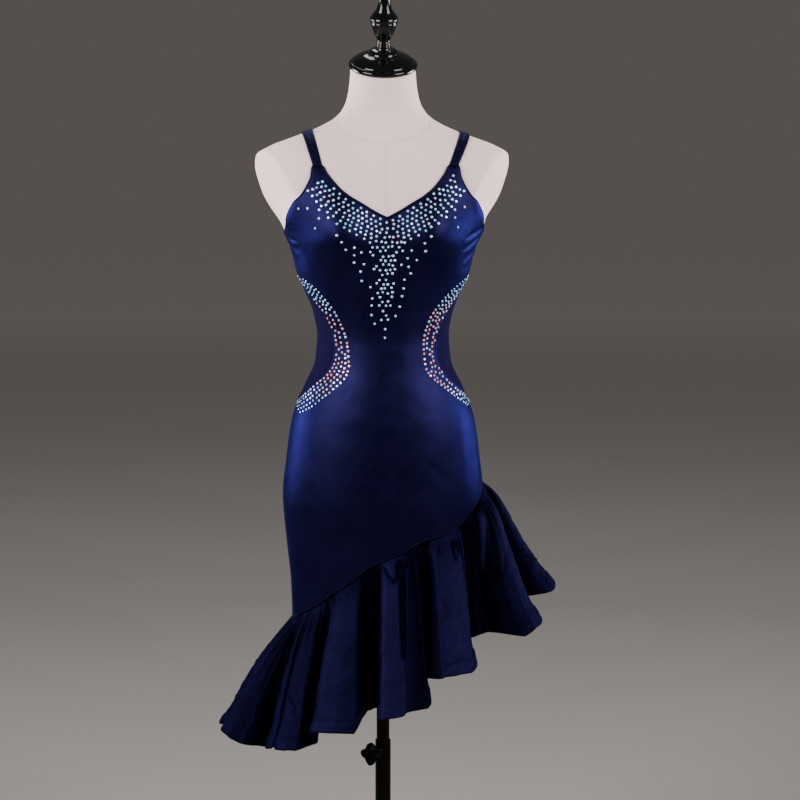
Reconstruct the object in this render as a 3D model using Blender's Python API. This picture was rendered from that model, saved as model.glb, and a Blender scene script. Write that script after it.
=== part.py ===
"""Salsa dance dress on a limbless dress form, with the form's telescoping stand.

Metres, +Z up. The dress faces -Y. Left and right are the wearer's: left is +X.
The origin is the middle of the stand base's underside.

Everything worn lies on one surface, the figure: a ring at each height, read from a
table of sections, and named by an angle (0 at the centre front, 90 at the left side
seam, 180 at the centre back) and a height. A dress piece is a wall between two offsets
of that surface, so that neighbouring pieces share their cut edges.
"""

import math

import bmesh
import bpy
import numpy as np
from mathutils import Matrix, Vector


def table(names, rows):
    """A short table as one array for each named column."""
    return dict(zip(names.split(), np.array(rows, float).T))


# ---------------------------------------------------------------- driving sizes (metres)
SEAM_GAP = 0.0003          # between neighbouring pieces
WALL = 0.0012              # satin and mesh, with their turned edges
WEAR_GAP = 0.0018          # from the form to the inside of the dress
STRAP_GAP = 0.0008         # from the form's shoulders to the straps
PLAIT_WALL = 0.0012        # flounce wall

FIGURE = table("height half_width front_depth back_depth squareness", [
    (0.560, 0.1430, 0.0900, 0.0960, 2.15),   # thighs, where the skirt ends on the low side
    (0.640, 0.1455, 0.0960, 0.1060, 2.15),
    (0.700, 0.1515, 0.1010, 0.1150, 2.15),
    (0.780, 0.1580, 0.1070, 0.1220, 2.15),   # hip
    (0.840, 0.1520, 0.1070, 0.1160, 2.15),
    (0.900, 0.1430, 0.1040, 0.1020, 2.15),
    (0.950, 0.1255, 0.0970, 0.0880, 2.15),
    (0.995, 0.1060, 0.0890, 0.0780, 2.15),
    (1.035, 0.1025, 0.0850, 0.0750, 2.15),   # waist
    (1.075, 0.1095, 0.0870, 0.0780, 2.15),
    (1.110, 0.1235, 0.0930, 0.0850, 2.15),
    (1.140, 0.1355, 0.0975, 0.0920, 2.15),
    (1.170, 0.1430, 0.1000, 0.0980, 2.20),   # bust
    (1.200, 0.1580, 0.1000, 0.1020, 2.25),
    (1.235, 0.1830, 0.0960, 0.1030, 2.30),
    (1.270, 0.2000, 0.0880, 0.1000, 2.40),
    (1.300, 0.2065, 0.0770, 0.0930, 2.50),   # shoulder tips
    (1.320, 0.2015, 0.0670, 0.0850, 2.50),
    (1.335, 0.1780, 0.0590, 0.0770, 2.40),
    (1.350, 0.1385, 0.0530, 0.0700, 2.30),
    (1.365, 0.1000, 0.0490, 0.0630, 2.20),
    (1.380, 0.0745, 0.0470, 0.0580, 2.10),
    (1.395, 0.0620, 0.0460, 0.0550, 2.00),   # neck
    (1.412, 0.0560, 0.0465, 0.0530, 2.00),
    (1.435, 0.0525, 0.0480, 0.0515, 2.00),
    (1.458, 0.0510, 0.0500, 0.0500, 2.00),
])
CUP = dict(rise=0.026, across=0.078, height=1.195, wide=0.046, above=0.062, below=0.036)
SEAT = dict(rise=0.012, across=0.065, height=0.800, wide=0.050, tall=0.070)
STUMP = dict(at=0.1965, height=1.315, slope=0.348, turn=0.5, starts=1.18, rounding=0.003)
NECK_LEAN = math.radians(20)   # the neck's top slopes down to the front
NECK_TOP, NECK_BEND = 1.458, 1.390
FORM_FOOT = 0.660              # underside of the form, hidden in the skirt
FORM_CROWDING = 8.0            # degrees that the form's columns shift towards the cups

SIDE_SEAM = 90.0
SKIRT_SEAM = dict(middle=0.691, rise=0.110, dip=0.033, dip_angle=47.0, dip_wide=30.0)
SIDE_CUT = dict(low=0.930, waist=1.010, high=1.130, front_reach=42.5, back_reach=40.0)
ARMHOLE_LOW = 1.198
NECKLINE = table("angle height", [
    (0.0, 1.2250), (5.0, 1.2360), (9.5, 1.2470), (14.0, 1.2580),
    (17.5, 1.2700), (20.5, 1.2860), (23.3, 1.3050),
])
FRONT_ARMHOLE = table("angle height", [
    (90.0, ARMHOLE_LOW), (76.0, 1.2030), (63.5, 1.2160), (55.0, 1.2340),
    (48.0, 1.2475), (39.5, 1.2580), (33.3, 1.2740), (29.3, 1.2910), (28.3, 1.3050),
])
# The back's angles are counted from the centre back.
BACK_NECKLINE = table("angle height", [
    (0.0, 1.1650), (10.0, 1.1670), (18.0, 1.1770), (23.0, 1.1950), (26.0, 1.2250),
])
BACK_ARMHOLE = table("angle height", [
    (90.0, ARMHOLE_LOW), (70.0, 1.1985), (50.0, 1.2030), (38.0, 1.2120), (32.0, 1.2250),
])
STRAP = dict(width=0.0165, right_top=0.120, left_top=0.128, steps=10, crowding=1.25)
BINDING = dict(width=0.0045, thick=0.0010)

HEM_ELLIPSE = dict(across=0.262, deep=0.205)
HEM_BAND = dict(width=0.022, thick=0.0010, gap=0.0005)
# Each row is a fold line of the flounce, ridges and valleys in turn, from its place on
# the skirt seam to its place at the hem: reach is its share of the hem ellipse.
FOLDS = table("seam_angle hem_angle reach hem_height", [
    (-84, -88, 0.86, 0.404),    # valley over the right side seam, where the halves meet
    (-79, -78, 1.00, 0.403),    # a crest takes two rows, and so does a broad valley
    (-71, -62, 1.00, 0.399),
    (-65, -55, 0.82, 0.399),
    (-60, -49, 0.93, 0.397),
    (-54, -45, 0.84, 0.404),
    (-50, -41, 1.00, 0.401),
    (-43, -33, 1.00, 0.404),
    (-36, -32, 0.78, 0.406),
    (-27, -26.5, 1.00, 0.436),
    (-17, -12.3, 1.00, 0.437),
    (-12, -10.5, 0.67, 0.457),  # deep valley beside the centre front
    (-6, -5.5, 0.67, 0.462),
    (0, -3, 1.01, 0.460),
    (12, 12, 1.01, 0.476),
    (20, 16, 0.68, 0.506),
    (27, 18, 1.00, 0.523),
    (42, 28, 1.00, 0.526),
    (50, 36, 0.74, 0.565),
    (60, 49, 0.78, 0.573),
    (70, 54, 1.00, 0.576),
    (78, 62, 1.03, 0.583),
    (84, 71, 0.80, 0.612),
    (89, 80, 1.04, 0.628),
    (93, 88, 1.04, 0.632),
    (99, 99, 0.80, 0.638),      # valley behind the left side seam, where the halves meet
    (108, 112, 1.00, 0.622),
    (120, 122, 0.75, 0.615),
    (131, 133, 0.97, 0.590),
    (143, 143, 0.72, 0.574),
    (154, 154, 1.00, 0.545),
    (165, 164, 0.68, 0.532),
    (176, 175, 1.00, 0.500),
    (187, 185, 0.70, 0.492),
    (198, 197, 0.98, 0.462),
    (209, 208, 0.75, 0.454),
    (220, 219, 1.00, 0.428),
    (231, 230, 0.73, 0.422),
    (242, 241, 0.96, 0.408),
    (252, 251, 0.77, 0.408),
    (262, 262, 1.00, 0.398),
    (276, 272, 0.86, 0.404),    # the first valley again
])
FRONT_FOLDS = 25               # fold steps from the first valley to the left one
FOLD_COLUMNS = 4               # wall columns from one fold line to the next
FLANK = 0.55                   # how much steeper a fold's flanks are than its crest
CREST = 0.80                   # under 1: broad crests and narrow valleys
DEEPEST = 0.66                 # reach at which a valley has none of the crests' belly
FALL_ROWS = (0.0, 0.07, 0.22, 0.46, 0.70, None, 1.0)   # None: the hem band's edge
GATHER = (0.0, 0.0016, 0.0007) # rise of the small gathers in the first rows
HEM_KICK = 0.006               # how far the stiffened hem turns out
# How far the crests belly out, and at what share of the fall on the short left side. On
# the long right side it is half way down.
PUFF = dict(out=0.0120, at=0.17)
MITRE = 0.75                   # limits how much longer a normal gets at a sharp turn

POLE_RADIUS = 0.0104
POLE_SLIDE_GAP = 0.0004
TUBE_RADIUS = 0.0125
TUBE_TOP = 0.374
CLAMP_HEIGHT = 0.356           # height of the knob's screw
POLE_INSERTION = 0.200         # pole inside the tube at rest
SOCKET = dict(radius=0.0200, depth=0.055, flange=0.045, flange_thick=0.004, floor=0.006)
BOTTOM_PLATE = dict(thick=0.008, margin=0.006)
KNOB = dict(radius=0.0185, lobes=4, lobe_depth=0.0060, head=0.0145, neck_radius=0.0085,
            neck=0.0085, screw_radius=0.0040, boss_radius=0.0080, boss=0.0040)
KNOB_TURN = math.radians(49)   # from pointing right (-X) towards the front
BASE = dict(radius=0.180, thick=0.010, hub_radius=0.032, hub_height=0.026)
CAP_RIM, CAP_TOP = 0.0544, 0.0345

ROWS = dict(low=9, cut=10, high=2, front_arm=8, back_arm=6)
FRONT_COLUMNS, BACK_COLUMNS, MESH_COLUMNS = 22, 16, 9
FORM_COLUMNS, TURN_COLUMNS = 36, 16

NAVY = (0.008, 0.012, 0.060, 1.0)
MESH_NAVY = (0.020, 0.016, 0.075, 1.0)
FORM_WHITE = (0.700, 0.620, 0.610, 1.0)
GLOSS_BLACK = (0.006, 0.006, 0.007, 1.0)
STAND_BLACK = (0.012, 0.012, 0.013, 1.0)


# ---------------------------------------------------------------- curves
def smooth_step(low, high, x):
    """0 below low, 1 above high, and a cubic between."""
    t = np.clip((x - low) / (high - low), 0.0, 1.0)
    return t * t * (3.0 - 2.0 * t)


def monotone(knots, values, x):
    """Cubic through the knots with no overshoot: slopes are weighted harmonic means."""
    step = np.diff(knots)
    slope = np.diff(values) / step
    tangent = np.zeros_like(values)
    before, after = slope[:-1], slope[1:]
    first, second = 2 * step[1:] + step[:-1], step[1:] + 2 * step[:-1]
    same = before * after > 0
    safe_before, safe_after = np.where(same, before, 1.0), np.where(same, after, 1.0)
    mean = (first + second) / (first / safe_before + second / safe_after)
    tangent[1:-1] = np.where(same, mean, 0.0)
    tangent[0], tangent[-1] = slope[0], slope[-1]
    k = np.clip(np.searchsorted(knots, x, side="right") - 1, 0, len(step) - 1)
    t = (x - knots[k]) / step[k]
    return ((1 + 2 * t) * (1 - t) ** 2 * values[k] + t * (1 - t) ** 2 * step[k] * tangent[k]
            + t * t * (3 - 2 * t) * values[k + 1] + t * t * (t - 1) * step[k] * tangent[k + 1])


def through(points, count, last_step=None):
    """Count points evenly along a smooth curve through a table of (angle, height).

    last_step, in metres, sets the length of the last interval instead.
    """
    angle, height = points["angle"], points["height"]
    metres_per_degree = 0.0023
    run = np.concatenate([[0.0], np.cumsum(np.hypot(np.diff(angle) * metres_per_degree,
                                                    np.diff(height)))])
    if last_step is None:
        at = np.linspace(0.0, run[-1], count)
    else:
        at = np.append(np.linspace(0.0, run[-1] - last_step, count - 1), run[-1])
    return np.stack([monotone(run, angle, at), monotone(run, height, at)], -1)


# ---------------------------------------------------------------- the figure
def figure(angle, height):
    """Points of the form's surface.

    Each ring is a superellipse with its own front and back depth. Two rounded rises
    make the bust cups and two the seat, a leaning plane cuts the arm stumps, and the
    neck's top rings shear down to the front.
    """
    angle, height = np.broadcast_arrays(np.radians(angle), np.asarray(height, float))
    wide, front, back, power = (monotone(FIGURE["height"], FIGURE[name], height) for name in
                                ("half_width", "front_depth", "back_depth", "squareness"))
    across, along = np.sin(angle), np.cos(angle)
    x = wide * np.sign(across) * np.abs(across) ** (2 / power)
    y = -np.where(along > 0, front, back) * np.sign(along) * np.abs(along) ** (2 / power)
    tall = np.where(height > CUP["height"], CUP["above"], CUP["below"])
    y = y - CUP["rise"] * smooth_step(-0.1, 0.3, along) * np.exp(
        -((np.abs(x) - CUP["across"]) / CUP["wide"]) ** 2
        - ((height - CUP["height"]) / tall) ** 2)
    y = y + SEAT["rise"] * smooth_step(-0.1, 0.3, -along) * np.exp(
        -((np.abs(x) - SEAT["across"]) / SEAT["wide"]) ** 2
        - ((height - SEAT["height"]) / SEAT["tall"]) ** 2)
    cut = (STUMP["at"] + STUMP["slope"] * (height - STUMP["height"])
           + STUMP["turn"] * y * smooth_step(1.20, 1.26, height))
    soft = STUMP["rounding"]
    trimmed = -soft * np.logaddexp(-np.abs(x) / soft, -cut / soft)
    x = np.where(height > STUMP["starts"], np.sign(x) * trimmed, x)
    lean = math.tan(NECK_LEAN) * smooth_step(NECK_BEND, NECK_TOP, height)
    return np.stack([x, y, height + y * lean], -1)


def outward(angle, height):
    """Unit normals of the figure, from small steps along both directions."""
    turn, rise = 0.06, 0.001
    height = np.clip(height, FIGURE["height"][0] + rise, NECK_TOP - rise)
    around = figure(angle + turn, height) - figure(angle - turn, height)
    up = figure(angle, height + rise) - figure(angle, height - rise)
    normal = np.cross(around, up)
    return normal / np.linalg.norm(normal, axis=-1, keepdims=True)


def worn(grid, out):
    """Points at a distance out from the figure, for a grid of (angle, height)."""
    return figure(grid[..., 0], grid[..., 1]) + out * outward(grid[..., 0], grid[..., 1])


# ---------------------------------------------------------------- meshes
def principled(name, colour, roughness, metallic=0.0):
    material = bpy.data.materials.new(name)
    material.use_nodes = True
    shader = material.node_tree.nodes["Principled BSDF"]
    shader.inputs["Base Color"].default_value = colour
    shader.inputs["Roughness"].default_value = roughness
    shader.inputs["Metallic"].default_value = metallic
    material.diffuse_color = colour
    return material


def add_object(name, mesh, material, crease=40.0):
    mesh.materials.append(material)
    mesh.shade_smooth()
    mesh.set_sharp_from_angle(angle=math.radians(crease))
    made = bpy.data.objects.new(name, mesh)
    bpy.context.scene.collection.objects.link(made)
    return made


def wall(name, material, inner, outer):
    """A closed thin solid between two grids of points with the same rows and columns.

    Both faces split their quads along the same diagonal, so that walls made from the
    same points stay parallel, and four rims close the edges.
    """
    rows, columns = inner.shape[:2]
    index = np.arange(rows * columns).reshape(rows, columns)
    a, b = index[:-1, :-1].ravel(), index[:-1, 1:].ravel()
    c, d = index[1:, 1:].ravel(), index[1:, :-1].ravel()
    shift = rows * columns
    sheet = np.concatenate([np.stack([a, b, c], -1), np.stack([a, c, d], -1)])
    rim = np.concatenate([index[0, :], index[1:, -1], index[-1, -2::-1], index[-2:0:-1, 0]])
    following = np.roll(rim, -1)
    edge = np.concatenate([np.stack([rim, following, following + shift], -1),
                           np.stack([rim, following + shift, rim + shift], -1)])
    faces = np.concatenate([sheet + shift, sheet[:, ::-1], edge])
    points = np.concatenate([inner.reshape(-1, 3), outer.reshape(-1, 3)])
    mesh = bpy.data.meshes.new(name)
    mesh.from_pydata(points.tolist(), [], faces.tolist())
    mesh.validate()
    return add_object(name, mesh, material)


def pulled_in(points, normals, distance, sides="brtl"):
    """The grid with its bottom, right, top and left edges moved in along the surface."""
    moved = points.copy()
    edges = {"b": (np.s_[0, :], 1), "r": (np.s_[:, -1], 1),
             "t": (np.s_[-1, :], -1), "l": (np.s_[:, 0], -1)}
    for side in sides:
        where, turn = edges[side]
        run = np.gradient(points[where], axis=0)
        inward = turn * np.cross(normals[where], run)
        inward /= np.linalg.norm(inward, axis=-1, keepdims=True)
        moved[where] += distance * inward
    return moved


def fitted_wall(name, material, grid, sides="brtl", gap=WEAR_GAP):
    """A wall worn on the figure over a grid of (angle, height), clear of its neighbours."""
    normals = outward(grid[..., 0], grid[..., 1])
    inner = pulled_in(worn(grid, gap), normals, SEAM_GAP / 2, sides)
    outer = inner + WALL * normals
    return wall(name, material, inner, outer), outer, normals


def turned(name, material, profile, place=Matrix(), columns=TURN_COLUMNS, crease=40.0):
    """A profile of (radius, height) turned once round Z and then placed.

    The profile runs up the outside. Where it ends off the axis it closes on itself,
    which leaves a bore.
    """
    radius, height = np.array(profile, float).T
    angle = np.linspace(0.0, 2 * math.pi, columns, endpoint=False)
    bored = radius[0] > 0 and radius[-1] > 0
    mesh = bpy.data.meshes.new(name)
    points, rings = [], []
    for r, z in zip(radius, height):
        if r == 0:
            rings.append([len(points)] * columns)
            points.append((0.0, 0.0, z))
        else:
            rings.append(list(range(len(points), len(points) + columns)))
            points.extend(zip(r * np.cos(angle), r * np.sin(angle), [z] * columns))
    pairs = list(zip(rings, rings[1:] + rings[:1])) if bored else list(zip(rings, rings[1:]))
    faces = []
    for low, high in pairs:
        for k in range(columns):
            corner = [low[k], low[(k + 1) % columns], high[(k + 1) % columns], high[k]]
            faces.append(list(dict.fromkeys(corner)))
    mesh.from_pydata([tuple(place @ Vector(p)) for p in points], [], faces)
    return add_object(name, mesh, material, crease)


def combine(target, cutter, operation):
    """Applies one exact Boolean to the target and removes the other object."""
    modifier = target.modifiers.new(operation.title(), "BOOLEAN")
    modifier.operation = operation
    modifier.solver = "EXACT"
    modifier.object = cutter
    graph = bpy.context.evaluated_depsgraph_get()
    made = bpy.data.meshes.new_from_object(target.evaluated_get(graph))
    target.modifiers.clear()
    target.data = made
    bpy.data.objects.remove(cutter)


# ---------------------------------------------------------------- cut edges of the dress
def skirt_seam(angle):
    """Height of the slanted seam: a sine rise to the left, with a dip in its front."""
    dip = np.exp(-((angle - SKIRT_SEAM["dip_angle"]) / SKIRT_SEAM["dip_wide"]) ** 2)
    return (SKIRT_SEAM["middle"] + SKIRT_SEAM["rise"] * np.sin(np.radians(angle))
            - SKIRT_SEAM["dip"] * dip)


def side_cut(reach):
    """The side opening's edge, low tip to high tip: a parabola in each half."""
    turn = np.linspace(-1.0, 1.0, ROWS["cut"] + 1)
    share = np.sin(turn * math.pi / 2)          # closer points at the tips
    low, waist, high = SIDE_CUT["low"], SIDE_CUT["waist"], SIDE_CUT["high"]
    height = waist + np.where(share < 0, waist - low, high - waist) * share
    return np.stack([SIDE_SEAM - reach * (1 - share ** 2), height], -1)


def side_edge(side, reach, armhole):
    """A panel's edge from the skirt seam up to its strap, for side -1 (right) or 1."""
    foot = skirt_seam(side * SIDE_SEAM)
    low = np.stack([np.full(ROWS["low"], SIDE_SEAM),
                    np.linspace(foot, SIDE_CUT["low"], ROWS["low"], endpoint=False)], -1)
    high = np.stack([np.full(ROWS["high"], SIDE_SEAM),
                     np.linspace(SIDE_CUT["high"], ARMHOLE_LOW, ROWS["high"] + 1)[1:]], -1)
    return np.concatenate([low, side_cut(reach), high, armhole[1:]])


def mirrored_top(neckline, corner, columns):
    """A panel's top from strap to strap: one column for each strap, the rest neckline."""
    half = through(neckline, (columns - 2) // 2 + 1)
    half = np.concatenate([half, [corner]])
    return np.concatenate([(half * (-1, 1))[:0:-1], half])


def patch(bottom, top, right_side, left_side):
    """Grid of (angle, height) between four edges, by Coons's rule.

    Each point is the blend of the side edges plus the blend of the bottom and top
    edges, less the blend of the corners.
    """
    u = np.linspace(0.0, 1.0, len(bottom))[None, :, None]
    rise = (right_side[:, 1] + left_side[:, 1]) / 2
    v = ((rise - rise[0]) / (rise[-1] - rise[0]))[:, None, None]
    across = (1 - u) * right_side[:, None] + u * left_side[:, None]
    below = bottom[None] - ((1 - u) * bottom[0] + u * bottom[-1])
    above = top[None] - ((1 - u) * top[0] + u * top[-1])
    return across + (1 - v) * below + v * above


def front_grid():
    """The front panel's (angle, height) grid, from the right side seam to the left."""
    armhole = through(FRONT_ARMHOLE, ROWS["front_arm"] + 2, BINDING["width"])
    right = side_edge(-1, SIDE_CUT["front_reach"], armhole) * (-1, 1)
    left = side_edge(1, SIDE_CUT["front_reach"], armhole)
    angle = np.linspace(-SIDE_SEAM, SIDE_SEAM, FRONT_COLUMNS + 1)
    bottom = np.stack([angle, skirt_seam(angle)], -1)
    return patch(bottom, mirrored_top(NECKLINE, armhole[-1], FRONT_COLUMNS), right, left)


def back_grid():
    """The back panel's (angle, height) grid, from the left side seam to the right."""
    armhole = through(BACK_ARMHOLE, ROWS["back_arm"] + 1)
    left = side_edge(1, SIDE_CUT["back_reach"], armhole) * (-1, 1)
    right = side_edge(-1, SIDE_CUT["back_reach"], armhole)
    angle = np.linspace(-SIDE_SEAM, SIDE_SEAM, BACK_COLUMNS + 1)
    bottom = np.stack([angle, skirt_seam(angle + 180.0)], -1)
    grid = patch(bottom, mirrored_top(BACK_NECKLINE, armhole[-1], BACK_COLUMNS), left, right)
    return grid + (180.0, 0.0)


# ---------------------------------------------------------------- dress pieces
def make_neckline_binding(material, outer, normals):
    """A narrow edge along the front neckline, on the panel's two top rows of points."""
    under = outer[-2:, 1:-1] + SEAM_GAP * normals[-2:, 1:-1]
    over = under + BINDING["thick"] * normals[-2:, 1:-1]
    wall("neckline_binding", material, under, over)


def make_side_mesh(name, material, side):
    """The inset in a side opening, between its front and back edges.

    Its tips are blunted, and stand a little inside the tips of the opening.
    """
    front, back = side_cut(SIDE_CUT["front_reach"]), side_cut(SIDE_CUT["back_reach"])
    back = (2 * SIDE_SEAM, 0.0) - back * (1, -1)
    blunt, tuck = 0.6, 0.0010
    for row, lift in ((0, tuck), (-1, -tuck)):
        front[row] = (SIDE_SEAM - blunt, front[row, 1] + lift)
        back[row] = (SIDE_SEAM + blunt, back[row, 1] + lift)
    share = np.linspace(0.0, 1.0, MESH_COLUMNS + 1)[None, :, None]
    grid = (1 - share) * front[:, None] + share * back[:, None]
    if side < 0:
        grid = grid[:, ::-1] * (-1, 1)
    fitted_wall(name, material, grid, "rl")


def strap_line(side, top_x, share):
    """One lengthwise line of a strap over the shoulder, as (angle, height).

    share runs from -1 at the strap's inner edge to 1 at its outer edge. The line keeps
    to a chosen distance from the centre plane, from the front panel's top up to the
    shoulder and down to the back panel's top.
    """
    lines = []
    for neck, arm, end in ((NECKLINE, FRONT_ARMHOLE, 1.0), (BACK_NECKLINE, BACK_ARMHOLE, -1.0)):
        angle = np.interp(share, (-1, 1), (neck["angle"][-1], arm["angle"][-1]))
        foot_angle = angle if end > 0 else 180.0 - angle
        foot = figure(foot_angle, neck["height"][-1])
        x_top = top_x + share * STRAP["width"] / 2
        peak = np.interp(-x_top, -FIGURE["half_width"][17:21], FIGURE["height"][17:21])
        fine = np.linspace(foot[2], peak, 400)
        climb = (fine - foot[2]) / (peak - foot[2])
        x = foot[0] + (x_top - foot[0]) * climb
        wide = monotone(FIGURE["height"], FIGURE["half_width"], fine)
        power = monotone(FIGURE["height"], FIGURE["squareness"], fine)
        turn = np.degrees(np.arcsin(np.clip(x / wide, 0, 1) ** (power / 2)))
        lines.append(np.stack([turn if end > 0 else 180.0 - turn, fine], -1))
    path = np.concatenate([lines[0], lines[1][::-1]])
    points = figure(path[:, 0], path[:, 1])
    run = np.concatenate([[0.0], np.cumsum(np.linalg.norm(np.diff(points, axis=0), axis=-1))])
    peak = run[len(lines[0])]
    share = np.linspace(0.0, 1.0, STRAP["steps"] + 1) ** STRAP["crowding"]
    at = np.concatenate([peak - peak * share[:0:-1], peak + (run[-1] - peak) * share])
    line = np.stack([np.interp(at, run, path[:, 0]), np.interp(at, run, path[:, 1])], -1)
    return line * (side, 1)


def make_strap(name, material, side, top_x):
    """A strap of three lengthwise lines, inner, middle and outer, worn on the shoulder."""
    lines = [strap_line(side, top_x, share) for share in (-1.0, 0.0, 1.0)]
    if side < 0:
        lines.reverse()
    fitted_wall(name, material, np.stack(lines, 1), "bt", STRAP_GAP)


# ---------------------------------------------------------------- flounce
def fold_columns():
    """Each wall column's seam angle, hem angle, reach and hem height.

    Between two fold lines the reach follows half a cosine, with its crest broadened,
    and the hem angle moves slowest half way, which makes the flanks steep.
    """
    steps = len(FOLDS["reach"]) - 1
    at = np.arange(steps * FOLD_COLUMNS + 1) / FOLD_COLUMNS
    k = np.minimum(at.astype(int), steps - 1)
    t = at - k
    column = {}
    for name in ("seam_angle", "hem_height"):
        column[name] = FOLDS[name][k] * (1 - t) + FOLDS[name][k + 1] * t
    eased = t + FLANK * np.sin(2 * math.pi * t) / (2 * math.pi)
    column["hem_angle"] = FOLDS["hem_angle"][k] * (1 - eased) + FOLDS["hem_angle"][k + 1] * eased
    rising = FOLDS["reach"][k + 1] > FOLDS["reach"][k]
    crest = np.where(rising, FOLDS["reach"][k + 1], FOLDS["reach"][k])
    valley = np.where(rising, FOLDS["reach"][k], FOLDS["reach"][k + 1])
    height = 0.5 + 0.5 * np.cos(math.pi * np.where(rising, 1 - t, t))
    column["reach"] = valley + (crest - valley) * height ** CREST
    column["crest"] = np.clip((column["reach"] - DEEPEST) / (1 - DEEPEST), 0.0, 1.0)
    return column


def seam_ring(angle):
    """Points along the middle of the skirt's bottom edge, on its own straight facets."""
    corners = np.concatenate([np.linspace(-90, 90, FRONT_COLUMNS + 1),
                              np.linspace(90, 270, BACK_COLUMNS + 1)[1:],
                              np.linspace(270, 450, FRONT_COLUMNS + 1)[1:]])
    points = worn(np.stack([corners, skirt_seam(corners)], -1), WEAR_GAP + WALL / 2)
    return np.stack([np.interp(angle, corners, points[:, k]) for k in range(3)], -1)


def flounce_points():
    """The middle surface of the whole flounce and its normals, rows from seam to hem.

    Each column falls in a straight line from the seam to its place at the hem. Small
    gathers stand out and in by turns just below the seam, and the hem turns out. The
    normals are mitred: longer where the cloth turns sharply, so that offsets keep their
    distance from its flat facets.
    """
    column = fold_columns()
    seam = seam_ring(column["seam_angle"])
    turn = np.radians(column["hem_angle"])
    plan = np.stack([HEM_ELLIPSE["across"] * np.sin(turn), -HEM_ELLIPSE["deep"] * np.cos(turn)], -1)
    hem = np.concatenate([plan * column["reach"][:, None], column["hem_height"][:, None]], -1)
    length = np.linalg.norm(hem - seam, axis=-1)
    away = plan / np.linalg.norm(plan, axis=-1, keepdims=True)
    away = np.concatenate([away, np.zeros((len(away), 1))], -1)
    left = 0.5 + 0.5 * np.sin(np.radians(column["seam_angle"]))
    gather = np.where(np.arange(len(seam)) % 2, 1.0, -1.0)
    gather[[0, FRONT_FOLDS * FOLD_COLUMNS, -1]] = 0.0
    rows = []
    for number, share in enumerate(FALL_ROWS):
        fall = (1 - HEM_BAND["width"] / length) if share is None else np.full(len(seam), share)
        row = seam + (hem - seam) * fall[:, None]
        row = row + away * (HEM_KICK * smooth_step(0.80, 1.0, fall))[:, None]
        early = fall / PUFF["at"]
        belly = left * early * np.exp(1 - early) + (1 - left) * np.sin(math.pi * fall)
        row = row + away * (PUFF["out"] * column["crest"] * belly)[:, None]
        if number < len(GATHER):
            row = row + away * (GATHER[number] * gather)[:, None]
        rows.append(row)
    points = np.stack(rows)
    wrapped = np.concatenate([points[:, -2:-1], points, points[:, 1:2]], 1)
    down = np.gradient(points, axis=0)
    facing = [np.cross(down, step) for step in (points - wrapped[:, :-2], wrapped[:, 2:] - points)]
    facing = [normal / np.linalg.norm(normal, axis=-1, keepdims=True) for normal in facing]
    normals = facing[0] + facing[1]
    normals /= np.linalg.norm(normals, axis=-1, keepdims=True)
    mitre = np.clip((normals * facing[0]).sum(-1, keepdims=True), MITRE, 1.0)
    return points, normals / mitre


def make_flounce(satin, band_satin):
    """The front and back halves of the flounce, with the hem band sewn on each."""
    points, normals = flounce_points()
    split = FRONT_FOLDS * FOLD_COLUMNS
    halves = (("front", np.s_[:, :split + 1]), ("back", np.s_[:, split:]))
    for name, part in halves:
        middle = pulled_in(points[part], -normals[part], SEAM_GAP / 2, "rl")
        out = normals[part]
        middle[0, :, 2] -= 2 * SEAM_GAP + PLAIT_WALL / 2 * np.abs(out[0, :, 2])
        wall("flounce_" + name, satin, (middle - out * PLAIT_WALL / 2)[::-1],
             (middle + out * PLAIT_WALL / 2)[::-1])
        under = (middle + out * (PLAIT_WALL / 2 + HEM_BAND["gap"]))[-2:]
        over = under + out[-2:] * HEM_BAND["thick"]
        wall("hem_band_" + name, band_satin, under[::-1], over[::-1])


# ---------------------------------------------------------------- dress form
def make_form(cloth, board):
    """The limbless form: rings of the figure with a flat foot and a leaning flat top."""
    heights = np.concatenate([
        np.linspace(FORM_FOOT, 0.90, 6, endpoint=False),
        np.linspace(0.90, 1.32, 17, endpoint=False),
        np.linspace(1.32, NECK_TOP, 8),
    ])
    angle = np.linspace(-180.0, 180.0, FORM_COLUMNS, endpoint=False)
    angle = angle - FORM_CROWDING * np.sin(np.radians(angle))
    points = figure(angle[None, :], heights[:, None])
    rows, columns = points.shape[:2]
    index = np.arange(rows * columns).reshape(rows, columns)
    after = np.roll(index, -1, axis=1)
    sides = np.stack([index[:-1], after[:-1], after[1:], index[1:]], -1).reshape(-1, 4)
    mesh = bpy.data.meshes.new("form_torso")
    faces = sides.tolist() + [index[0, ::-1].tolist(), index[-1].tolist()]
    mesh.from_pydata(points.reshape(-1, 3).tolist(), [], faces)
    add_object("form_torso", mesh, cloth)

    edge = figure(angle, FORM_FOOT)[:, :2]
    shrink = 1.0 - BOTTOM_PLATE["margin"] / np.linalg.norm(edge, axis=-1, keepdims=True)
    edge = edge * shrink
    plate = bmesh.new()
    top = FORM_FOOT - SEAM_GAP
    bottom = [plate.verts.new((x, y, top - BOTTOM_PLATE["thick"])) for x, y in edge]
    face = plate.faces.new(bottom[::-1])
    raised = bmesh.ops.extrude_face_region(plate, geom=[face])["geom"]
    lifted = [v for v in raised if isinstance(v, bmesh.types.BMVert)]
    bmesh.ops.translate(plate, verts=lifted, vec=(0, 0, BOTTOM_PLATE["thick"]))
    bmesh.ops.recalc_face_normals(plate, faces=plate.faces[:])
    mesh = bpy.data.meshes.new("form_bottom_plate")
    plate.to_mesh(mesh)
    plate.free()
    add_object("form_bottom_plate", mesh, board)


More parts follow.
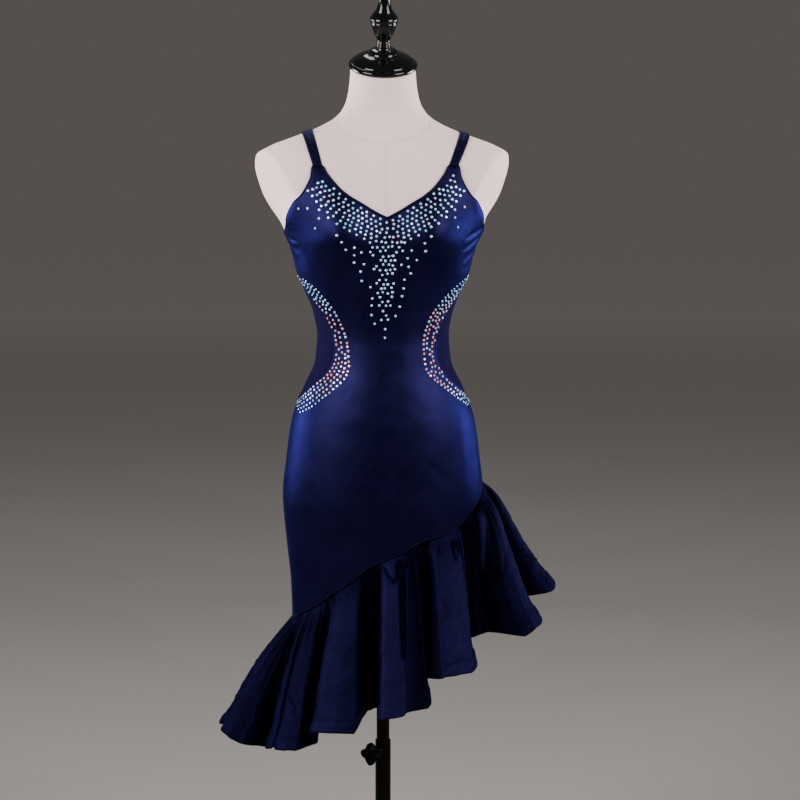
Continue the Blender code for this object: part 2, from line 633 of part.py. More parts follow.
def make_neck_cap(gloss):
    """The domed cap on the neck and the turned finial on it, square to the leaning neck."""
    place = Matrix.Translation((0, 0, NECK_TOP)) @ Matrix.Rotation(NECK_LEAN, 4, "X")
    lift = SEAM_GAP
    rim = CAP_RIM
    turned("neck_cap", gloss, [
        (0.0, lift), (rim - 0.0020, lift), (rim, lift + 0.0020), (rim, 0.0060),
        (rim - 0.0025, 0.0088), (0.0485, 0.0098), (0.0462, 0.0128), (0.0400, 0.0178),
        (0.0300, 0.0223), (0.0210, 0.0260), (0.0155, 0.0295), (0.0122, CAP_TOP),
        (0.0, CAP_TOP),
    ], place, columns=26)
    collar = CAP_TOP + SEAM_GAP
    turned("finial", gloss, [
        (0.0, collar), (0.0113, collar), (0.0119, 0.0360), (0.0106, 0.0375),
        (0.0118, 0.0390), (0.0106, 0.0405), (0.0116, 0.0422), (0.0097, 0.0445),
        (0.0130, 0.0510), (0.0168, 0.0580), (0.0208, 0.0715), (0.0212, 0.0745),
        (0.0200, 0.0765), (0.0222, 0.0795), (0.0216, 0.0825), (0.0180, 0.0870),
        (0.0135, 0.0930), (0.0112, 0.0990), (0.0084, 0.1110), (0.0066, 0.1250),
        (0.0060, 0.1380), (0.0082, 0.1410), (0.0066, 0.1440), (0.0094, 0.1500),
        (0.0094, 0.1550), (0.0060, 0.1600), (0.0, 0.1620),
    ], place)


# ---------------------------------------------------------------- stand
def socket_top():
    """Height of the socket's flange, just under the form's bottom plate."""
    return FORM_FOOT - BOTTOM_PLATE["thick"] - 2 * SEAM_GAP


def make_socket(metal):
    """The flanged cup under the form, whose bore takes the top of the pole."""
    top = socket_top()
    bottom, floor = top - SOCKET["depth"], top - SOCKET["floor"]
    bore = POLE_RADIUS + POLE_SLIDE_GAP
    turned("pole_socket", metal, [
        (0.0, floor), (bore, floor), (bore, bottom), (SOCKET["radius"], bottom),
        (SOCKET["radius"], top - SOCKET["flange_thick"]),
        (SOCKET["flange"], top - SOCKET["flange_thick"]), (SOCKET["flange"], top),
        (0.0, top),
    ])


def make_inner_pole(metal):
    """The sliding pole, from inside the tube up to the socket's floor."""
    low, high = TUBE_TOP - POLE_INSERTION, socket_top() - SOCKET["floor"] - SEAM_GAP
    edge = 0.001
    turned("inner_pole", metal, [
        (0.0, low), (POLE_RADIUS - edge, low), (POLE_RADIUS, low + edge),
        (POLE_RADIUS, high - edge), (POLE_RADIUS - edge, high), (0.0, high),
    ])


def make_outer_tube(metal):
    """The fixed tube with the threaded boss that the knob turns in, bored for the pole."""
    bore = POLE_RADIUS + POLE_SLIDE_GAP
    foot = BASE["thick"] + SEAM_GAP
    margin = 0.004                 # how far the cutters run past the metal
    boss_end = TUBE_RADIUS + KNOB["boss"]
    hole = KNOB["screw_radius"] + SEAM_GAP
    sideways = (Matrix.Translation((0, 0, CLAMP_HEIGHT)) @ Matrix.Rotation(KNOB_TURN, 4, "Z")
                @ Matrix.Rotation(-math.pi / 2, 4, "Y"))
    tube = turned("outer_tube", metal, [
        (0.0, foot), (TUBE_RADIUS, foot), (TUBE_RADIUS, TUBE_TOP - 0.001),
        (TUBE_RADIUS - 0.001, TUBE_TOP), (0.0, TUBE_TOP),
    ])
    boss = turned("boss", metal, [
        (0.0, 0.0), (KNOB["boss_radius"], 0.0), (KNOB["boss_radius"], boss_end),
        (0.0, boss_end),
    ], sideways)
    combine(tube, boss, "UNION")
    for name, radius, low, high, place in (
            ("bore", bore, foot - margin, TUBE_TOP + margin, Matrix()),
            ("drill", hole, 0.0, boss_end + margin, sideways)):
        drill = turned(name, metal, [(0.0, low), (radius, low), (radius, high), (0.0, high)],
                       place)
        combine(tube, drill, "DIFFERENCE")
    tube.data.shade_smooth()
    tube.data.set_sharp_from_angle(angle=math.radians(40))


def make_knob(plastic):
    """The lobed clamp knob and its screw, one moulded piece on the screw's own axis.

    The grip's outline is a circle with a cosine added for its lobes.
    """
    start = TUBE_RADIUS + KNOB["boss"] + SEAM_GAP
    tip = POLE_RADIUS + SEAM_GAP
    grip = start + KNOB["neck"]
    sections = [
        (tip, KNOB["screw_radius"], 0.0), (start, KNOB["screw_radius"], 0.0),
        (start, KNOB["neck_radius"], 0.0), (grip, KNOB["neck_radius"], 0.0),
        (grip + 0.002, KNOB["radius"] - 0.0025, 0.7), (grip + 0.0045, KNOB["radius"], 1.0),
        (grip + KNOB["head"] - 0.0035, KNOB["radius"], 1.0),
        (grip + KNOB["head"], KNOB["radius"] - 0.0045, 0.7),
    ]
    count = KNOB["lobes"] * 6
    aim = Matrix.Rotation(KNOB_TURN, 4, "Z")
    turn = np.linspace(0.0, 2 * math.pi, count, endpoint=False)
    mesh = bmesh.new()
    rings = []
    for along, radius, share in sections:
        r = radius - share * KNOB["lobe_depth"] * (0.5 - 0.5 * np.cos(KNOB["lobes"] * turn))
        rings.append([mesh.verts.new(aim @ Vector((-along, a, b)))
                      for a, b in zip(r * np.cos(turn), r * np.sin(turn))])
    for near, far in zip(rings, rings[1:]):
        for k in range(count):
            mesh.faces.new((near[k], near[(k + 1) % count], far[(k + 1) % count], far[k]))
    mesh.faces.new(rings[0])
    mesh.faces.new(rings[-1])
    bmesh.ops.recalc_face_normals(mesh, faces=mesh.faces[:])
    data = bpy.data.meshes.new("clamp_knob")
    mesh.to_mesh(data)
    mesh.free()
    knob = add_object("clamp_knob", data, plastic)
    knob.location = (0, 0, CLAMP_HEIGHT)


def make_base(metal):
    """The weighted round base and its hub, which the tube stands in."""
    radius, thick = BASE["radius"], BASE["thick"]
    bore = TUBE_RADIUS + SEAM_GAP
    turned("base_plate", metal, [
        (0.0, 0.0), (radius - 0.002, 0.0), (radius, 0.002), (radius, thick - 0.003),
        (radius - 0.003, thick), (BASE["hub_radius"], thick),
        (BASE["hub_radius"] - 0.004, BASE["hub_height"]), (bore, BASE["hub_height"]),
        (bore, thick), (0.0, thick),
    ], columns=40)


def main():
    for thing in list(bpy.data.objects):
        bpy.data.objects.remove(thing)
    satin = principled("navy_satin", NAVY, 0.30)
    edging = principled("navy_edging", NAVY, 0.45)
    sheer = principled("navy_mesh", MESH_NAVY, 0.70)
    cover = principled("form_cover", FORM_WHITE, 0.85)
    gloss = principled("gloss_black", GLOSS_BLACK, 0.10)
    metal = principled("black_enamel", STAND_BLACK, 0.35)
    board = principled("black_board", STAND_BLACK, 0.60)
    plastic = principled("black_plastic", STAND_BLACK, 0.40)

    _, outer, normals = fitted_wall("front_panel", satin, front_grid())
    fitted_wall("back_panel", satin, back_grid())
    make_neckline_binding(edging, outer, normals)
    make_side_mesh("side_mesh_right", sheer, -1)
    make_side_mesh("side_mesh_left", sheer, 1)
    make_strap("strap_right", satin, -1, STRAP["right_top"])
    make_strap("strap_left", satin, 1, STRAP["left_top"])
    make_flounce(satin, edging)
    make_form(cover, board)
    make_neck_cap(gloss)
    make_socket(metal)
    make_inner_pole(metal)
    make_outer_tube(metal)
    make_knob(plastic)
    make_base(metal)


main()
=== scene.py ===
"""Salsa dance dress on a limbless dress form with its stand: the visual model.

Metres, +Z up. The dress faces -Y, and the wearer's left is +X. The file is laid out as
an add-on. Run as a script, it registers its classes and calls its operators in order.

Everything worn lies on one surface, the figure, which an angle (0 at the centre front,
90 at the left side seam, 180 at the centre back) and a height name. A piece of cloth is
a grid of such places, set out from the figure, creased, and given its thickness.
"""

import math
from types import SimpleNamespace as Sizes

import bpy
import numpy as np
from bpy.props import FloatProperty, FloatVectorProperty, PointerProperty
from bpy.types import Operator, Panel, PropertyGroup
from mathutils import Matrix, Vector


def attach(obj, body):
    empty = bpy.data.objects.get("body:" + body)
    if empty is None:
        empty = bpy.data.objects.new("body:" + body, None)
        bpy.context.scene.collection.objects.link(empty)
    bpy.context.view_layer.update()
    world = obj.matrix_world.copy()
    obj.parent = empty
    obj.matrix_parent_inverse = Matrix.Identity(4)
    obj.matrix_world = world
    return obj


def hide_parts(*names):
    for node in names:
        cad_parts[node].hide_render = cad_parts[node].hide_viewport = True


bl_info = {
    "name": "Salsa dance dress",
    "version": (1, 0, 0),
    "blender": (4, 5, 0),
    "location": "3D View > Sidebar > Dress",
    "description": "Builds a satin salsa dress with a flounce on its dress form and stand",
    "category": "Add Mesh",
}

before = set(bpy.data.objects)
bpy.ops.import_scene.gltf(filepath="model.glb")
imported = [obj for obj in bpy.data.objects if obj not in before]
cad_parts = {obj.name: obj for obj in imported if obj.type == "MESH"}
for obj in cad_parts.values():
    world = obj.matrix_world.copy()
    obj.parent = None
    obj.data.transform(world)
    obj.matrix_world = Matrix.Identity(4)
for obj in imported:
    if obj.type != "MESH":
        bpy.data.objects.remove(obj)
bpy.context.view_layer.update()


def table(names, rows):
    """A short table as one array for each named column.

    A column whose name ends in /1000 is divided by 1000, which makes metres of whole
    millimetres, and so on.
    """
    columns = {}
    for title, column in zip(names.split(), np.array(rows, float).T):
        name, _, parts = title.partition("/")
        columns[name] = column / float(parts or 1)
    return columns


# ---- the solids' own sizes
FIGURE = table("height/1000 half_width/10000 front_depth/10000 back_depth/10000 squareness/100", [
    (560, 1430, 900, 960, 215),  # thighs, where the skirt ends on the low side
    (640, 1455, 960, 1060, 215),
    (700, 1515, 1010, 1150, 215),
    (780, 1580, 1070, 1220, 215),  # hip
    (840, 1520, 1070, 1160, 215),
    (900, 1430, 1040, 1020, 215),
    (950, 1255, 970, 880, 215),
    (995, 1060, 890, 780, 215),
    (1035, 1025, 850, 750, 215),  # waist
    (1075, 1095, 870, 780, 215),
    (1110, 1235, 930, 850, 215),
    (1140, 1355, 975, 920, 215),
    (1170, 1430, 1000, 980, 220),  # bust
    (1200, 1580, 1000, 1020, 225),
    (1235, 1830, 960, 1030, 230),
    (1270, 2000, 880, 1000, 240),
    (1300, 2065, 770, 930, 250),  # shoulder tips
    (1320, 2015, 670, 850, 250),
    (1335, 1780, 590, 770, 240),
    (1350, 1385, 530, 700, 230),
    (1365, 1000, 490, 630, 220),
    (1380, 745, 470, 580, 210),
    (1395, 620, 460, 550, 200),  # neck
    (1412, 560, 465, 530, 200),
    (1435, 525, 480, 515, 200),
    (1458, 510, 500, 500, 200),
])
CUP = Sizes(rise=0.026, across=0.078, height=1.195, wide=0.046, above=0.062, below=0.036)
SEAT = Sizes(rise=0.012, across=0.065, height=0.8, wide=0.05, tall=0.07)
STUMP = Sizes(at=0.1965, height=1.315, slope=0.348, turn=0.5, starts=1.18, rounding=0.003)
NECK_LEAN = math.radians(20)  # the neck's top slopes down to the front
NECK_TOP, NECK_BEND = 1.458, 1.39
FORM_FOOT = 0.66
SIDES, SIDE_SEAM = ((-1, "right"), (1, "left")), 90
SKIRT_SEAM = Sizes(middle=0.691, rise=0.11, dip=0.033, dip_angle=47, dip_wide=30)
SIDE_CUT = Sizes(low=0.93, waist=1.01, high=1.13, front_reach=42.5, back_reach=40)
ARMHOLE_LOW = 1.198
NECKLINE = table("angle height", [
    (0, 1.225), (5, 1.236), (9.5, 1.247), (14, 1.258),
    (17.5, 1.27), (20.5, 1.286), (23.3, 1.305),
])
FRONT_ARMHOLE = table("angle height", [
    (90, ARMHOLE_LOW), (76, 1.203), (63.5, 1.216), (55, 1.234),
    (48, 1.2475), (39.5, 1.258), (33.3, 1.274), (29.3, 1.291), (28.3, 1.305),
])
# The back's angles are counted from the centre back.
BACK_NECKLINE = table("angle height", [
    (0, 1.165), (10, 1.167), (18, 1.177), (23, 1.195), (26, 1.225),
])
BACK_ARMHOLE = table("angle height", [
    (90, ARMHOLE_LOW), (70, 1.1985), (50, 1.203), (38, 1.212), (32, 1.225),
])
STRAP_TOP = Sizes(right=0.12, left=0.128)  # from the centre plane, on the shoulder
HEM_ELLIPSE = Sizes(across=0.262, deep=0.205)
# The light column is painted light: the most of the cloth's colour that a fold line keeps on a crest;
# the rest is painted dark as shade.
FOLDS = table("seam_angle hem_angle reach/100 hem_height/1000 light/100", [
    (-84, -88, 86, 404, 10),  # valley over the right side seam, where the halves meet
    (-79, -78, 100, 403, 72),  # a crest takes two rows, and so does a broad valley
    (-71, -62, 100, 399, 26),
    (-65, -55, 84, 389, 0),
    (-60, -49, 93, 395, 100),
    (-54, -45, 84, 404, 10),
    (-50, -41, 100, 401, 50),
    (-43, -33, 100, 404, 30),
    (-36, -32, 78, 406, 15),
    (-27, -26.5, 100, 436, 62),
    (-17, -12.3, 100, 437, 34),
    (-12, -10.5, 67, 457, 10),  # deep valley beside the centre front
    (-6, -5.5, 67, 462, 10),
    (0, -3, 101, 460, 100),
    (12, 12, 101, 476, 4),
    (20, 16, 68, 506, 60),
    (27, 18, 100, 523, 52),
    (42, 28, 100, 526, 70),
    (50, 36, 74, 565, 30),
    (60, 49, 78, 573, 0),
    (70, 54, 100, 569, 14),
    (78, 62, 103, 583, 80),
    (84, 71, 80, 612, 0),
    (89, 80, 104, 628, 42),
    (93, 88, 104, 632, 70),
    (99, 99, 80, 638, 25),  # valley behind the left side seam, where the halves meet
    (108, 112, 100, 622, 75),
    (120, 122, 75, 615, 20),
    (131, 133, 97, 590, 75),
    (143, 143, 72, 574, 20),
    (154, 154, 100, 545, 75),
    (165, 164, 68, 532, 20),
    (176, 175, 100, 500, 75),
    (187, 185, 70, 492, 20),
    (198, 197, 98, 462, 75),
    (209, 208, 75, 454, 20),
    (220, 219, 100, 428, 75),
    (231, 230, 73, 422, 20),
    (242, 241, 96, 408, 75),
    (252, 251, 77, 408, 20),
    (262, 262, 100, 398, 75),
    (276, 272, 86, 404, 10),  # the first valley again
])
FRONT_FOLDS = 25  # steps from fold line to fold line in the front half
# How steep the flanks are, how broad the crests, and the deepest valley's reach.
FLANK, CREST, DEEPEST = 0.9, 0.8, 0.66
SEAM_WAVE = Sizes(tall=0.012, level=0.9, spread=3)
HEM_KICK = Sizes(out=0.006, starts=0.8)
PUFF = Sizes(out=0.012, at=0.17)
POLE_RADIUS, POLE_SLIDE_GAP, TUBE_RADIUS, TUBE_TOP = 0.0104, 0.0004, 0.0125, 0.374
CLAMP_HEIGHT, POLE_INSERTION, SEAM_GAP = 0.356, 0.2, 0.0003
SOCKET = Sizes(radius=0.02, depth=0.055, flange=0.045, flange_thick=0.004, floor=0.006)
BOTTOM_PLATE = Sizes(thick=0.008, margin=0.006)
KNOB = Sizes(radius=0.0185, lobes=4, lobe_depth=0.006, head=0.0145, neck_radius=0.0085,
             neck=0.0085, screw_radius=0.004, boss_radius=0.008, boss=0.004)
KNOB_TURN = math.radians(49)
BASE = Sizes(radius=0.18, thick=0.01, hub_radius=0.032, hub_height=0.026)
CAP_RIM, CAP_TOP = 0.0544, 0.0345

# ---- sizes of the finished cloth
SATIN_OUT = 0.0029  # from the form to the outside of the satin
NET_OUT = 0.0024
LEAST_OUT = 0.0015  # the satin's outside comes no closer to the form
STRETCH = Sizes(satin=1.06, strap=1.05, net=1.1)  # the worn size over the cut size
SEAM_PRESS = Sizes(share=0.16, wide=0.016)  # the skirt seam's waves, pressed in above it
STRAP = Sizes(thick=0.0012, out=0.0016, crown=0.0013, fold=0.0006, fold_at=-0.3, fold_wide=0.16,
              wrinkle=0.00022, slant=2, pucker=0.0005, puckers=13, pucker_long=0.01,
              lap=0.0006, lap_long=0.006, lines=13, steps=121)
EDGE_STEP = 0.003  # between the sections of a rolled edge
ROLL_END, ROLL_FLAT = 0.35, 0.6  # an end section's size, and how far down the round goes
BINDING = Sizes(half_width=0.0021, rise=0.0014, sunk=0.0002, sections=12)
ROLL = Sizes(half_width=0.0015, rise=0.0011, sunk=0.0006, sections=9)
# The band's height above the flounce: a share for each of its rows, from the hem up, with
# a sewn trough near the hem.
BAND = Sizes(thick=0.0008, out=0.0003, crown=0.0011, profile=np.array([
    0.15, 0.75, 0.9, 0.8, 0.45, 0.8, 0.9, 0.9, 0.9, 0.9, 0.9, 0.85, 0.7, 0.3]))
TUCK = Sizes(rise=0.004, out=0.0013)  # the flounce's seam allowance, under the skirt
FRONT_COLUMNS, BACK_COLUMNS, STRAP_COLUMNS = 160, 120, 6
SIDE_ROWS = Sizes(low=50, cut=64, high=12, front_arm=48, back_arm=34)
FOLD_SAMPLES = 16
FALL_STEPS, FALL_POWER, BAND_STEPS = 52, 1.25, 13
METRES_PER_DEGREE = 0.0023
SHOULDER_RINGS = np.s_[17:21]  # the figure's rows that slope from the shoulder to the neck

# Creases of the front: from one place to another, as (angle, height). Depth is out from
# the form where it is positive and towards it where it is negative.
FRONT_CREASES = table("angle0 height0/1000 angle1 height1/1000 width/10000 depth/10000", [
    (68, 1211, 50, 1192, 35, -13),  # drag lines from the left armhole
    (70, 1204, 52, 1183, 35, 12),
    (76, 1199, 53, 1174, 40, -15),
    (82, 1192, 55, 1166, 40, 13),
    (88, 1183, 57, 1158, 45, -14),
    (88, 1172, 58, 1150, 45, 11),
    (88, 1160, 58, 1143, 45, -11),
    (-88, 1196, -62, 1189, 35, -12),  # and from the right one
    (-88, 1188, -64, 1183, 35, 10),
    (-88, 1182, -61, 1177, 40, -12),
    (-88, 1172, -66, 1166, 40, 10),
    (-88, 1162, -69, 1156, 40, -10),
    (-88, 1150, -71, 1144, 45, -8),
    (-34, 1268, -46, 1230, 60, -6),  # from the strap seams into the cups
    (34, 1268, 47, 1228, 60, -6),
    (-90, 793, -74, 801, 50, -16),  # hip
    (-90, 806, -76, 812, 70, 10),
    (-48.2, 744, -46.5, 674, 45, -9),  # long faint drags in the skirt
    (-44, 730, -41, 650, 60, 6),
    (-70, 900, -52, 830, 100, -7),
    (58, 935, 46, 750, 120, 10),
    (72, 900, 60, 770, 100, -8),
    (-12, 920, 14, 912, 90, -5),
    (20, 850, 36, 810, 80, -5),
    (-20, 1050, 16, 1044, 60, -6),  # waist
    (-26, 1018, 20, 1014, 70, 5),
])
# Creases of the back, with angles counted from the centre back.
BACK_CREASES = table("angle0 height0/1000 angle1 height1/1000 width/10000 depth/10000", [
    (-88, 1190, -60, 1180, 40, -11),
    (-88, 1176, -58, 1164, 45, 9),
    (-88, 1162, -64, 1152, 45, -10),
    (88, 1192, 62, 1183, 40, -11),
    (88, 1180, 57, 1169, 45, 9),
    (88, 1166, 60, 1154, 45, -12),
    (-40, 1046, 34, 1040, 70, -10),
    (-44, 1026, 42, 1022, 80, 9),
    (-36, 1008, 40, 1000, 80, -10),
    (-30, 982, 36, 976, 100, 6),
    (-74, 900, -34, 860, 110, -8),
    (70, 910, 36, 870, 110, -7),
    (-50, 750, -30, 736, 100, -8),
    (30, 745, 54, 760, 100, -8),
    (0, 890, 1, 720, 120, -8),
])
# Creases of the flounce, each between two columns, named by their place on the skirt
# seam, and two shares of the fall.
FLOUNCE_CREASES = table("angle0 fall0/100 angle1 fall1/100 width/10000 depth/10000", [
    (-82, 2, -80, 36, 30, -30),  # gathers of the low right side
    (-77.5, 2, -76, 55, 32, -36),
    (-74, 2, -73, 34, 28, -28),
    (-70, 2, -70.5, 60, 34, -40),
    (-67, 2, -67.5, 34, 28, -26),
    (-62.5, 2, -62, 44, 30, -32),
    (-58, 2, -57.6, 40, 30, -32),
    (-52, 2, -51, 36, 28, -28),
    (-48.5, 2, -47.4, 24, 28, -22),
    (-45, 2, -44, 17, 28, -18),
    (-41, 2, -40, 30, 30, -30),
    (-31, 2, -30.8, 9, 28, -20),  # second broad lobe
    (-27.5, 2, -27.3, 9, 26, -16),
    (-22, 2, -22.2, 7, 28, -18),
    (-18.5, 2, -18.6, 6, 26, -18),
    (-1.5, 2, 3, 16, 28, -36),  # centre lobe, in two tubes
    (4.6, 2, 3.2, 15, 26, -30),
    (6.6, 2, 6.6, 66, 48, -95),
    (3.2, 44, 3.6, 74, 26, -16),
    (1.8, 42, 2, 80, 22, -14),
    (9.6, 2, 9.8, 12, 26, -20),
    (11.2, 24, 11, 90, 100, -26),
    (12, 2, 12.3, 16, 28, -26),
    (15, 2, 15.3, 9, 28, -20),
    (29, 2, 28, 11, 28, -22),  # broad left lobe
    (32.5, 2, 32.2, 6, 24, -14),
    (37.5, 2, 38.6, 20, 28, -30),
    (40, 2, 41, 16, 26, -26),
    (42.5, 2, 43.5, 40, 30, -30),
    (27, 42, 29.8, 60, 36, -24),
    (38.6, 52, 40.6, 80, 34, -26),
    (40.5, 50, 39, 72, 30, 18),
    (64, 2, 61, 54, 56, 110),  # narrow tube in the wide recess
    (50.5, 2, 50.5, 40, 36, -30),
    (56.5, 2, 55.5, 50, 38, -34),
    (68.6, 2, 66.6, 62, 44, -46),
    (72, 2, 72.3, 24, 30, -32),
    (76, 2, 76, 13, 28, -26),
    (81, 2, 81, 34, 34, -40),
    (86.5, 2, 86, 20, 28, -30),
    (91, 2, 90.8, 32, 30, -32),
    (95, 2, 95, 32, 30, -28),
    (-82, 66, -72, 73, 42, 44),  # crushed ridges and dents lower down
    (-82, 70, -73, 77, 34, -36),
    (-80, 50, -72, 58, 40, -30),
    (-74, 56, -70, 86, 36, -36),
    (-62.5, 50, -59.5, 66, 36, -28),
    (-50.5, 58, -46.5, 70, 38, 26),
    (-50.5, 62, -45.5, 76, 32, -30),
    (-33.5, 40, -30, 60, 50, -26),
    (-33, 60, -29, 52, 40, 22),
    (-24, 40, -21, 44, 50, -12),
    (8.5, 74, 12.5, 62, 36, -24),
    (69, 56, 74, 44, 36, -26),
    (86, 62, 92.5, 70, 40, -50),
    (86.5, 72, 92.5, 77, 36, 40),
])
# Painted shade: the most by which the flounce's colour is darkened deep in its folds.
PAINTED_FOLD_SHADE = 0.95  # how much darker the cloth is deep in the flounce's folds
# How much painted light a fold keeps, the rest painted as shade: none in a valley, its row's
# share on a crest, less in a gather and more on a ridge.
PAINTED_FOLD_LIGHT = Sizes(valley=0.48, crest=0.97, gather=0.92, gather_deep=(0.0003, 0.0023),
                   ridge=0.6, ridge_tall=(0.002, 0.008))
GATHERS = Sizes(seed=11, first=100, last=274, step=4.4, uneven=1.5, slant=0.8, fall=0.02,
                width=0.0028, depth=0.0026, length=0.26)
CRUMPLES = Sizes(seed=5, count=46, angle=(-82, 274), fall=(0.3, 0.8), turn=4, length=0.08,
                 width=0.0065, depth=0.0018)
RIPPLE = Sizes(seed=3, count=9, longest=0.11, shortest=0.034, body=0.00005, flounce=0.0002)


# ---- curves and the figure
def smooth_step(low, high, x):
    """0 below low, 1 above high, and a cubic between."""
    t = np.clip((x - low) / (high - low), 0, 1)
    return t * t * (3 - 2 * t)


def monotone(knots, values, x):
    """Cubic through the knots with no overshoot: slopes are weighted harmonic means."""
    step = np.diff(knots)
    slope = np.diff(values) / step
    tangent = np.zeros_like(values)
    before, after = slope[:-1], slope[1:]
    first, second = 2 * step[1:] + step[:-1], step[1:] + 2 * step[:-1]
    same = before * after > 0
    safe_before, safe_after = np.where(same, before, 1.0), np.where(same, after, 1.0)
    mean = (first + second) / (first / safe_before + second / safe_after)
    tangent[1:-1] = np.where(same, mean, 0.0)
    tangent[0], tangent[-1] = slope[0], slope[-1]
    k = np.clip(np.searchsorted(knots, x, side="right") - 1, 0, len(step) - 1)
    t = (x - knots[k]) / step[k]
    return ((1 + 2 * t) * (1 - t) ** 2 * values[k] + t * (1 - t) ** 2 * step[k] * tangent[k]
            + t * t * (3 - 2 * t) * values[k + 1] + t * t * (t - 1) * step[k] * tangent[k + 1])


def bell(gap, width):
    """1 in the middle, dying away on both sides: e to minus the square of gap by width."""
    return np.exp(-(gap / width) ** 2)


def norm(vectors):
    """The vectors' lengths."""
    return np.linalg.norm(vectors, axis=-1)


def unit(vectors):
    """The vectors over their lengths."""
    return vectors / norm(vectors)[..., None]


def run_along(points):
    """How far along a line each of its points lies: the steps between them, added up."""
    return np.concatenate([[0], np.cumsum(norm(np.diff(points, axis=0)))])


def read_off(at, run, rows):
    """The rows at places between them, by straight lines along their run."""
    return np.stack([np.interp(at, run, rows[:, k]) for k in range(rows.shape[1])], -1)


def through(points, count):
    """Count points evenly along a smooth curve through a table of (angle, height)."""
    angle, height = points["angle"], points["height"]
    run = np.concatenate([[0], np.cumsum(np.hypot(np.diff(angle) * METRES_PER_DEGREE,
                                                    np.diff(height)))])
    at = np.linspace(0, run[-1], count)
    return np.stack([monotone(run, angle, at), monotone(run, height, at)], -1)


def figure(angle, height):
    """Points of the form's surface.

    Each ring is a superellipse with its own front and back depth. Two rounded rises
    make the bust cups and two the seat, a leaning plane cuts the arm stumps, and the
    neck's top rings shear down to the front.
    """
    angle, height = np.broadcast_arrays(np.radians(angle), np.asarray(height, float))
    wide, front, back, power = (monotone(FIGURE["height"], FIGURE[name], height) for name in
                                ("half_width", "front_depth", "back_depth", "squareness"))
    across, along = np.sin(angle), np.cos(angle)
    x = wide * np.sign(across) * np.abs(across) ** (2 / power)
    y = -np.where(along > 0, front, back) * np.sign(along) * np.abs(along) ** (2 / power)
    tall = np.where(height > CUP.height, CUP.above, CUP.below)
    y = y - CUP.rise * smooth_step(-0.1, 0.3, along) * np.exp(
        -((np.abs(x) - CUP.across) / CUP.wide) ** 2
        - ((height - CUP.height) / tall) ** 2)
    y = y + SEAT.rise * smooth_step(-0.1, 0.3, -along) * np.exp(
        -((np.abs(x) - SEAT.across) / SEAT.wide) ** 2
        - ((height - SEAT.height) / SEAT.tall) ** 2)
    cut = (STUMP.at + STUMP.slope * (height - STUMP.height)
           + STUMP.turn * y * smooth_step(1.2, 1.26, height))
    soft = STUMP.rounding
    trimmed = -soft * np.logaddexp(-np.abs(x) / soft, -cut / soft)
    x = np.where(height > STUMP.starts, np.sign(x) * trimmed, x)
    lean = math.tan(NECK_LEAN) * smooth_step(NECK_BEND, NECK_TOP, height)
    return np.stack([x, y, height + y * lean], -1)


def angle_at(x, height):
    """The figure's angle at a distance from the centre plane: its front's ring, solved."""
    wide = monotone(FIGURE["height"], FIGURE["half_width"], height)
    power = monotone(FIGURE["height"], FIGURE["squareness"], height)
    return np.sign(x) * np.degrees(np.arcsin(np.clip(np.abs(x) / wide, 0, 1) ** (power / 2)))


def outward(angle, height):
    """Unit normals of the figure, from small steps along both directions."""
    turn, rise = 0.06, 0.001
    height = np.clip(height, FIGURE["height"][0] + rise, NECK_TOP - rise)
    around = figure(angle + turn, height) - figure(angle - turn, height)
    up = figure(angle, height + rise) - figure(angle, height - rise)
    return unit(np.cross(around, up))


def worn(grid, out):
    """Points at a distance out from the figure, for a grid or line of (angle, height)."""
    angle, height = grid[..., 0], grid[..., 1]
    out = np.broadcast_to(out, angle.shape)[..., None]
    return figure(angle, height) + out * outward(angle, height)


# ---- cut edges of the dress
def seam_wave(angle):
    """How far the skirt's seam rises over the flounce's valleys and dips over its crests.

    It is a level less the mean of the folds' reach here and a little to each side.
    """
    first, spread = FOLDS["seam_angle"][0], SEAM_WAVE.spread
    around = (np.asarray(angle) - first) % 360 + first
    reach = np.interp(around, FOLDS["seam_angle"], FOLDS["reach"])
    soft = sum(np.interp(around + shift, FOLDS["seam_angle"], FOLDS["reach"])
               for shift in (-spread, spread))
    return SEAM_WAVE.tall * (SEAM_WAVE.level - (reach + soft) / 3)


def skirt_seam(angle):
    """Height of the slanted seam: a sine rise to the left, a dip in front, small waves."""
    dip = bell(angle - SKIRT_SEAM.dip_angle, SKIRT_SEAM.dip_wide)
    return (SKIRT_SEAM.middle + SKIRT_SEAM.rise * np.sin(np.radians(angle))
            - SKIRT_SEAM.dip * dip + seam_wave(angle))


def side_cut(reach):
    """The side opening's edge, low tip to high tip: a parabola in each half."""
    turn = np.linspace(-1, 1, SIDE_ROWS.cut + 1)
    share = np.sin(turn * math.pi / 2)  # closer points at the tips
    low, waist, high = SIDE_CUT.low, SIDE_CUT.waist, SIDE_CUT.high
    height = waist + np.where(share < 0, waist - low, high - waist) * share
    return np.stack([SIDE_SEAM - reach * (1 - share ** 2), height], -1)


def side_edge(side, reach, armhole):
    """A panel's edge from the skirt seam up to its strap, for side -1 (right) or 1."""
    foot = float(skirt_seam(side * SIDE_SEAM))
    low = np.stack([np.full(SIDE_ROWS.low, SIDE_SEAM),
                    np.linspace(foot, SIDE_CUT.low, SIDE_ROWS.low, endpoint=False)], -1)
    high = np.stack([np.full(SIDE_ROWS.high, SIDE_SEAM),
                     np.linspace(SIDE_CUT.high, ARMHOLE_LOW, SIDE_ROWS.high + 1)[1:]], -1)
    return np.concatenate([low, side_cut(reach), high, armhole[1:]])


def both_sides(half):
    """A path from the centre out to the left, with its mirror image before it."""
    return np.concatenate([(half * (-1, 1))[:0:-1], half])


def mirrored_top(neckline, corner, columns):
    """A panel's top from strap to strap, with its last columns under each strap."""
    half = through(neckline, columns // 2 - STRAP_COLUMNS + 1)
    share = np.linspace(0, 1, STRAP_COLUMNS + 1)[1:, None]
    return both_sides(np.concatenate([half, half[-1] + (corner - half[-1]) * share]))


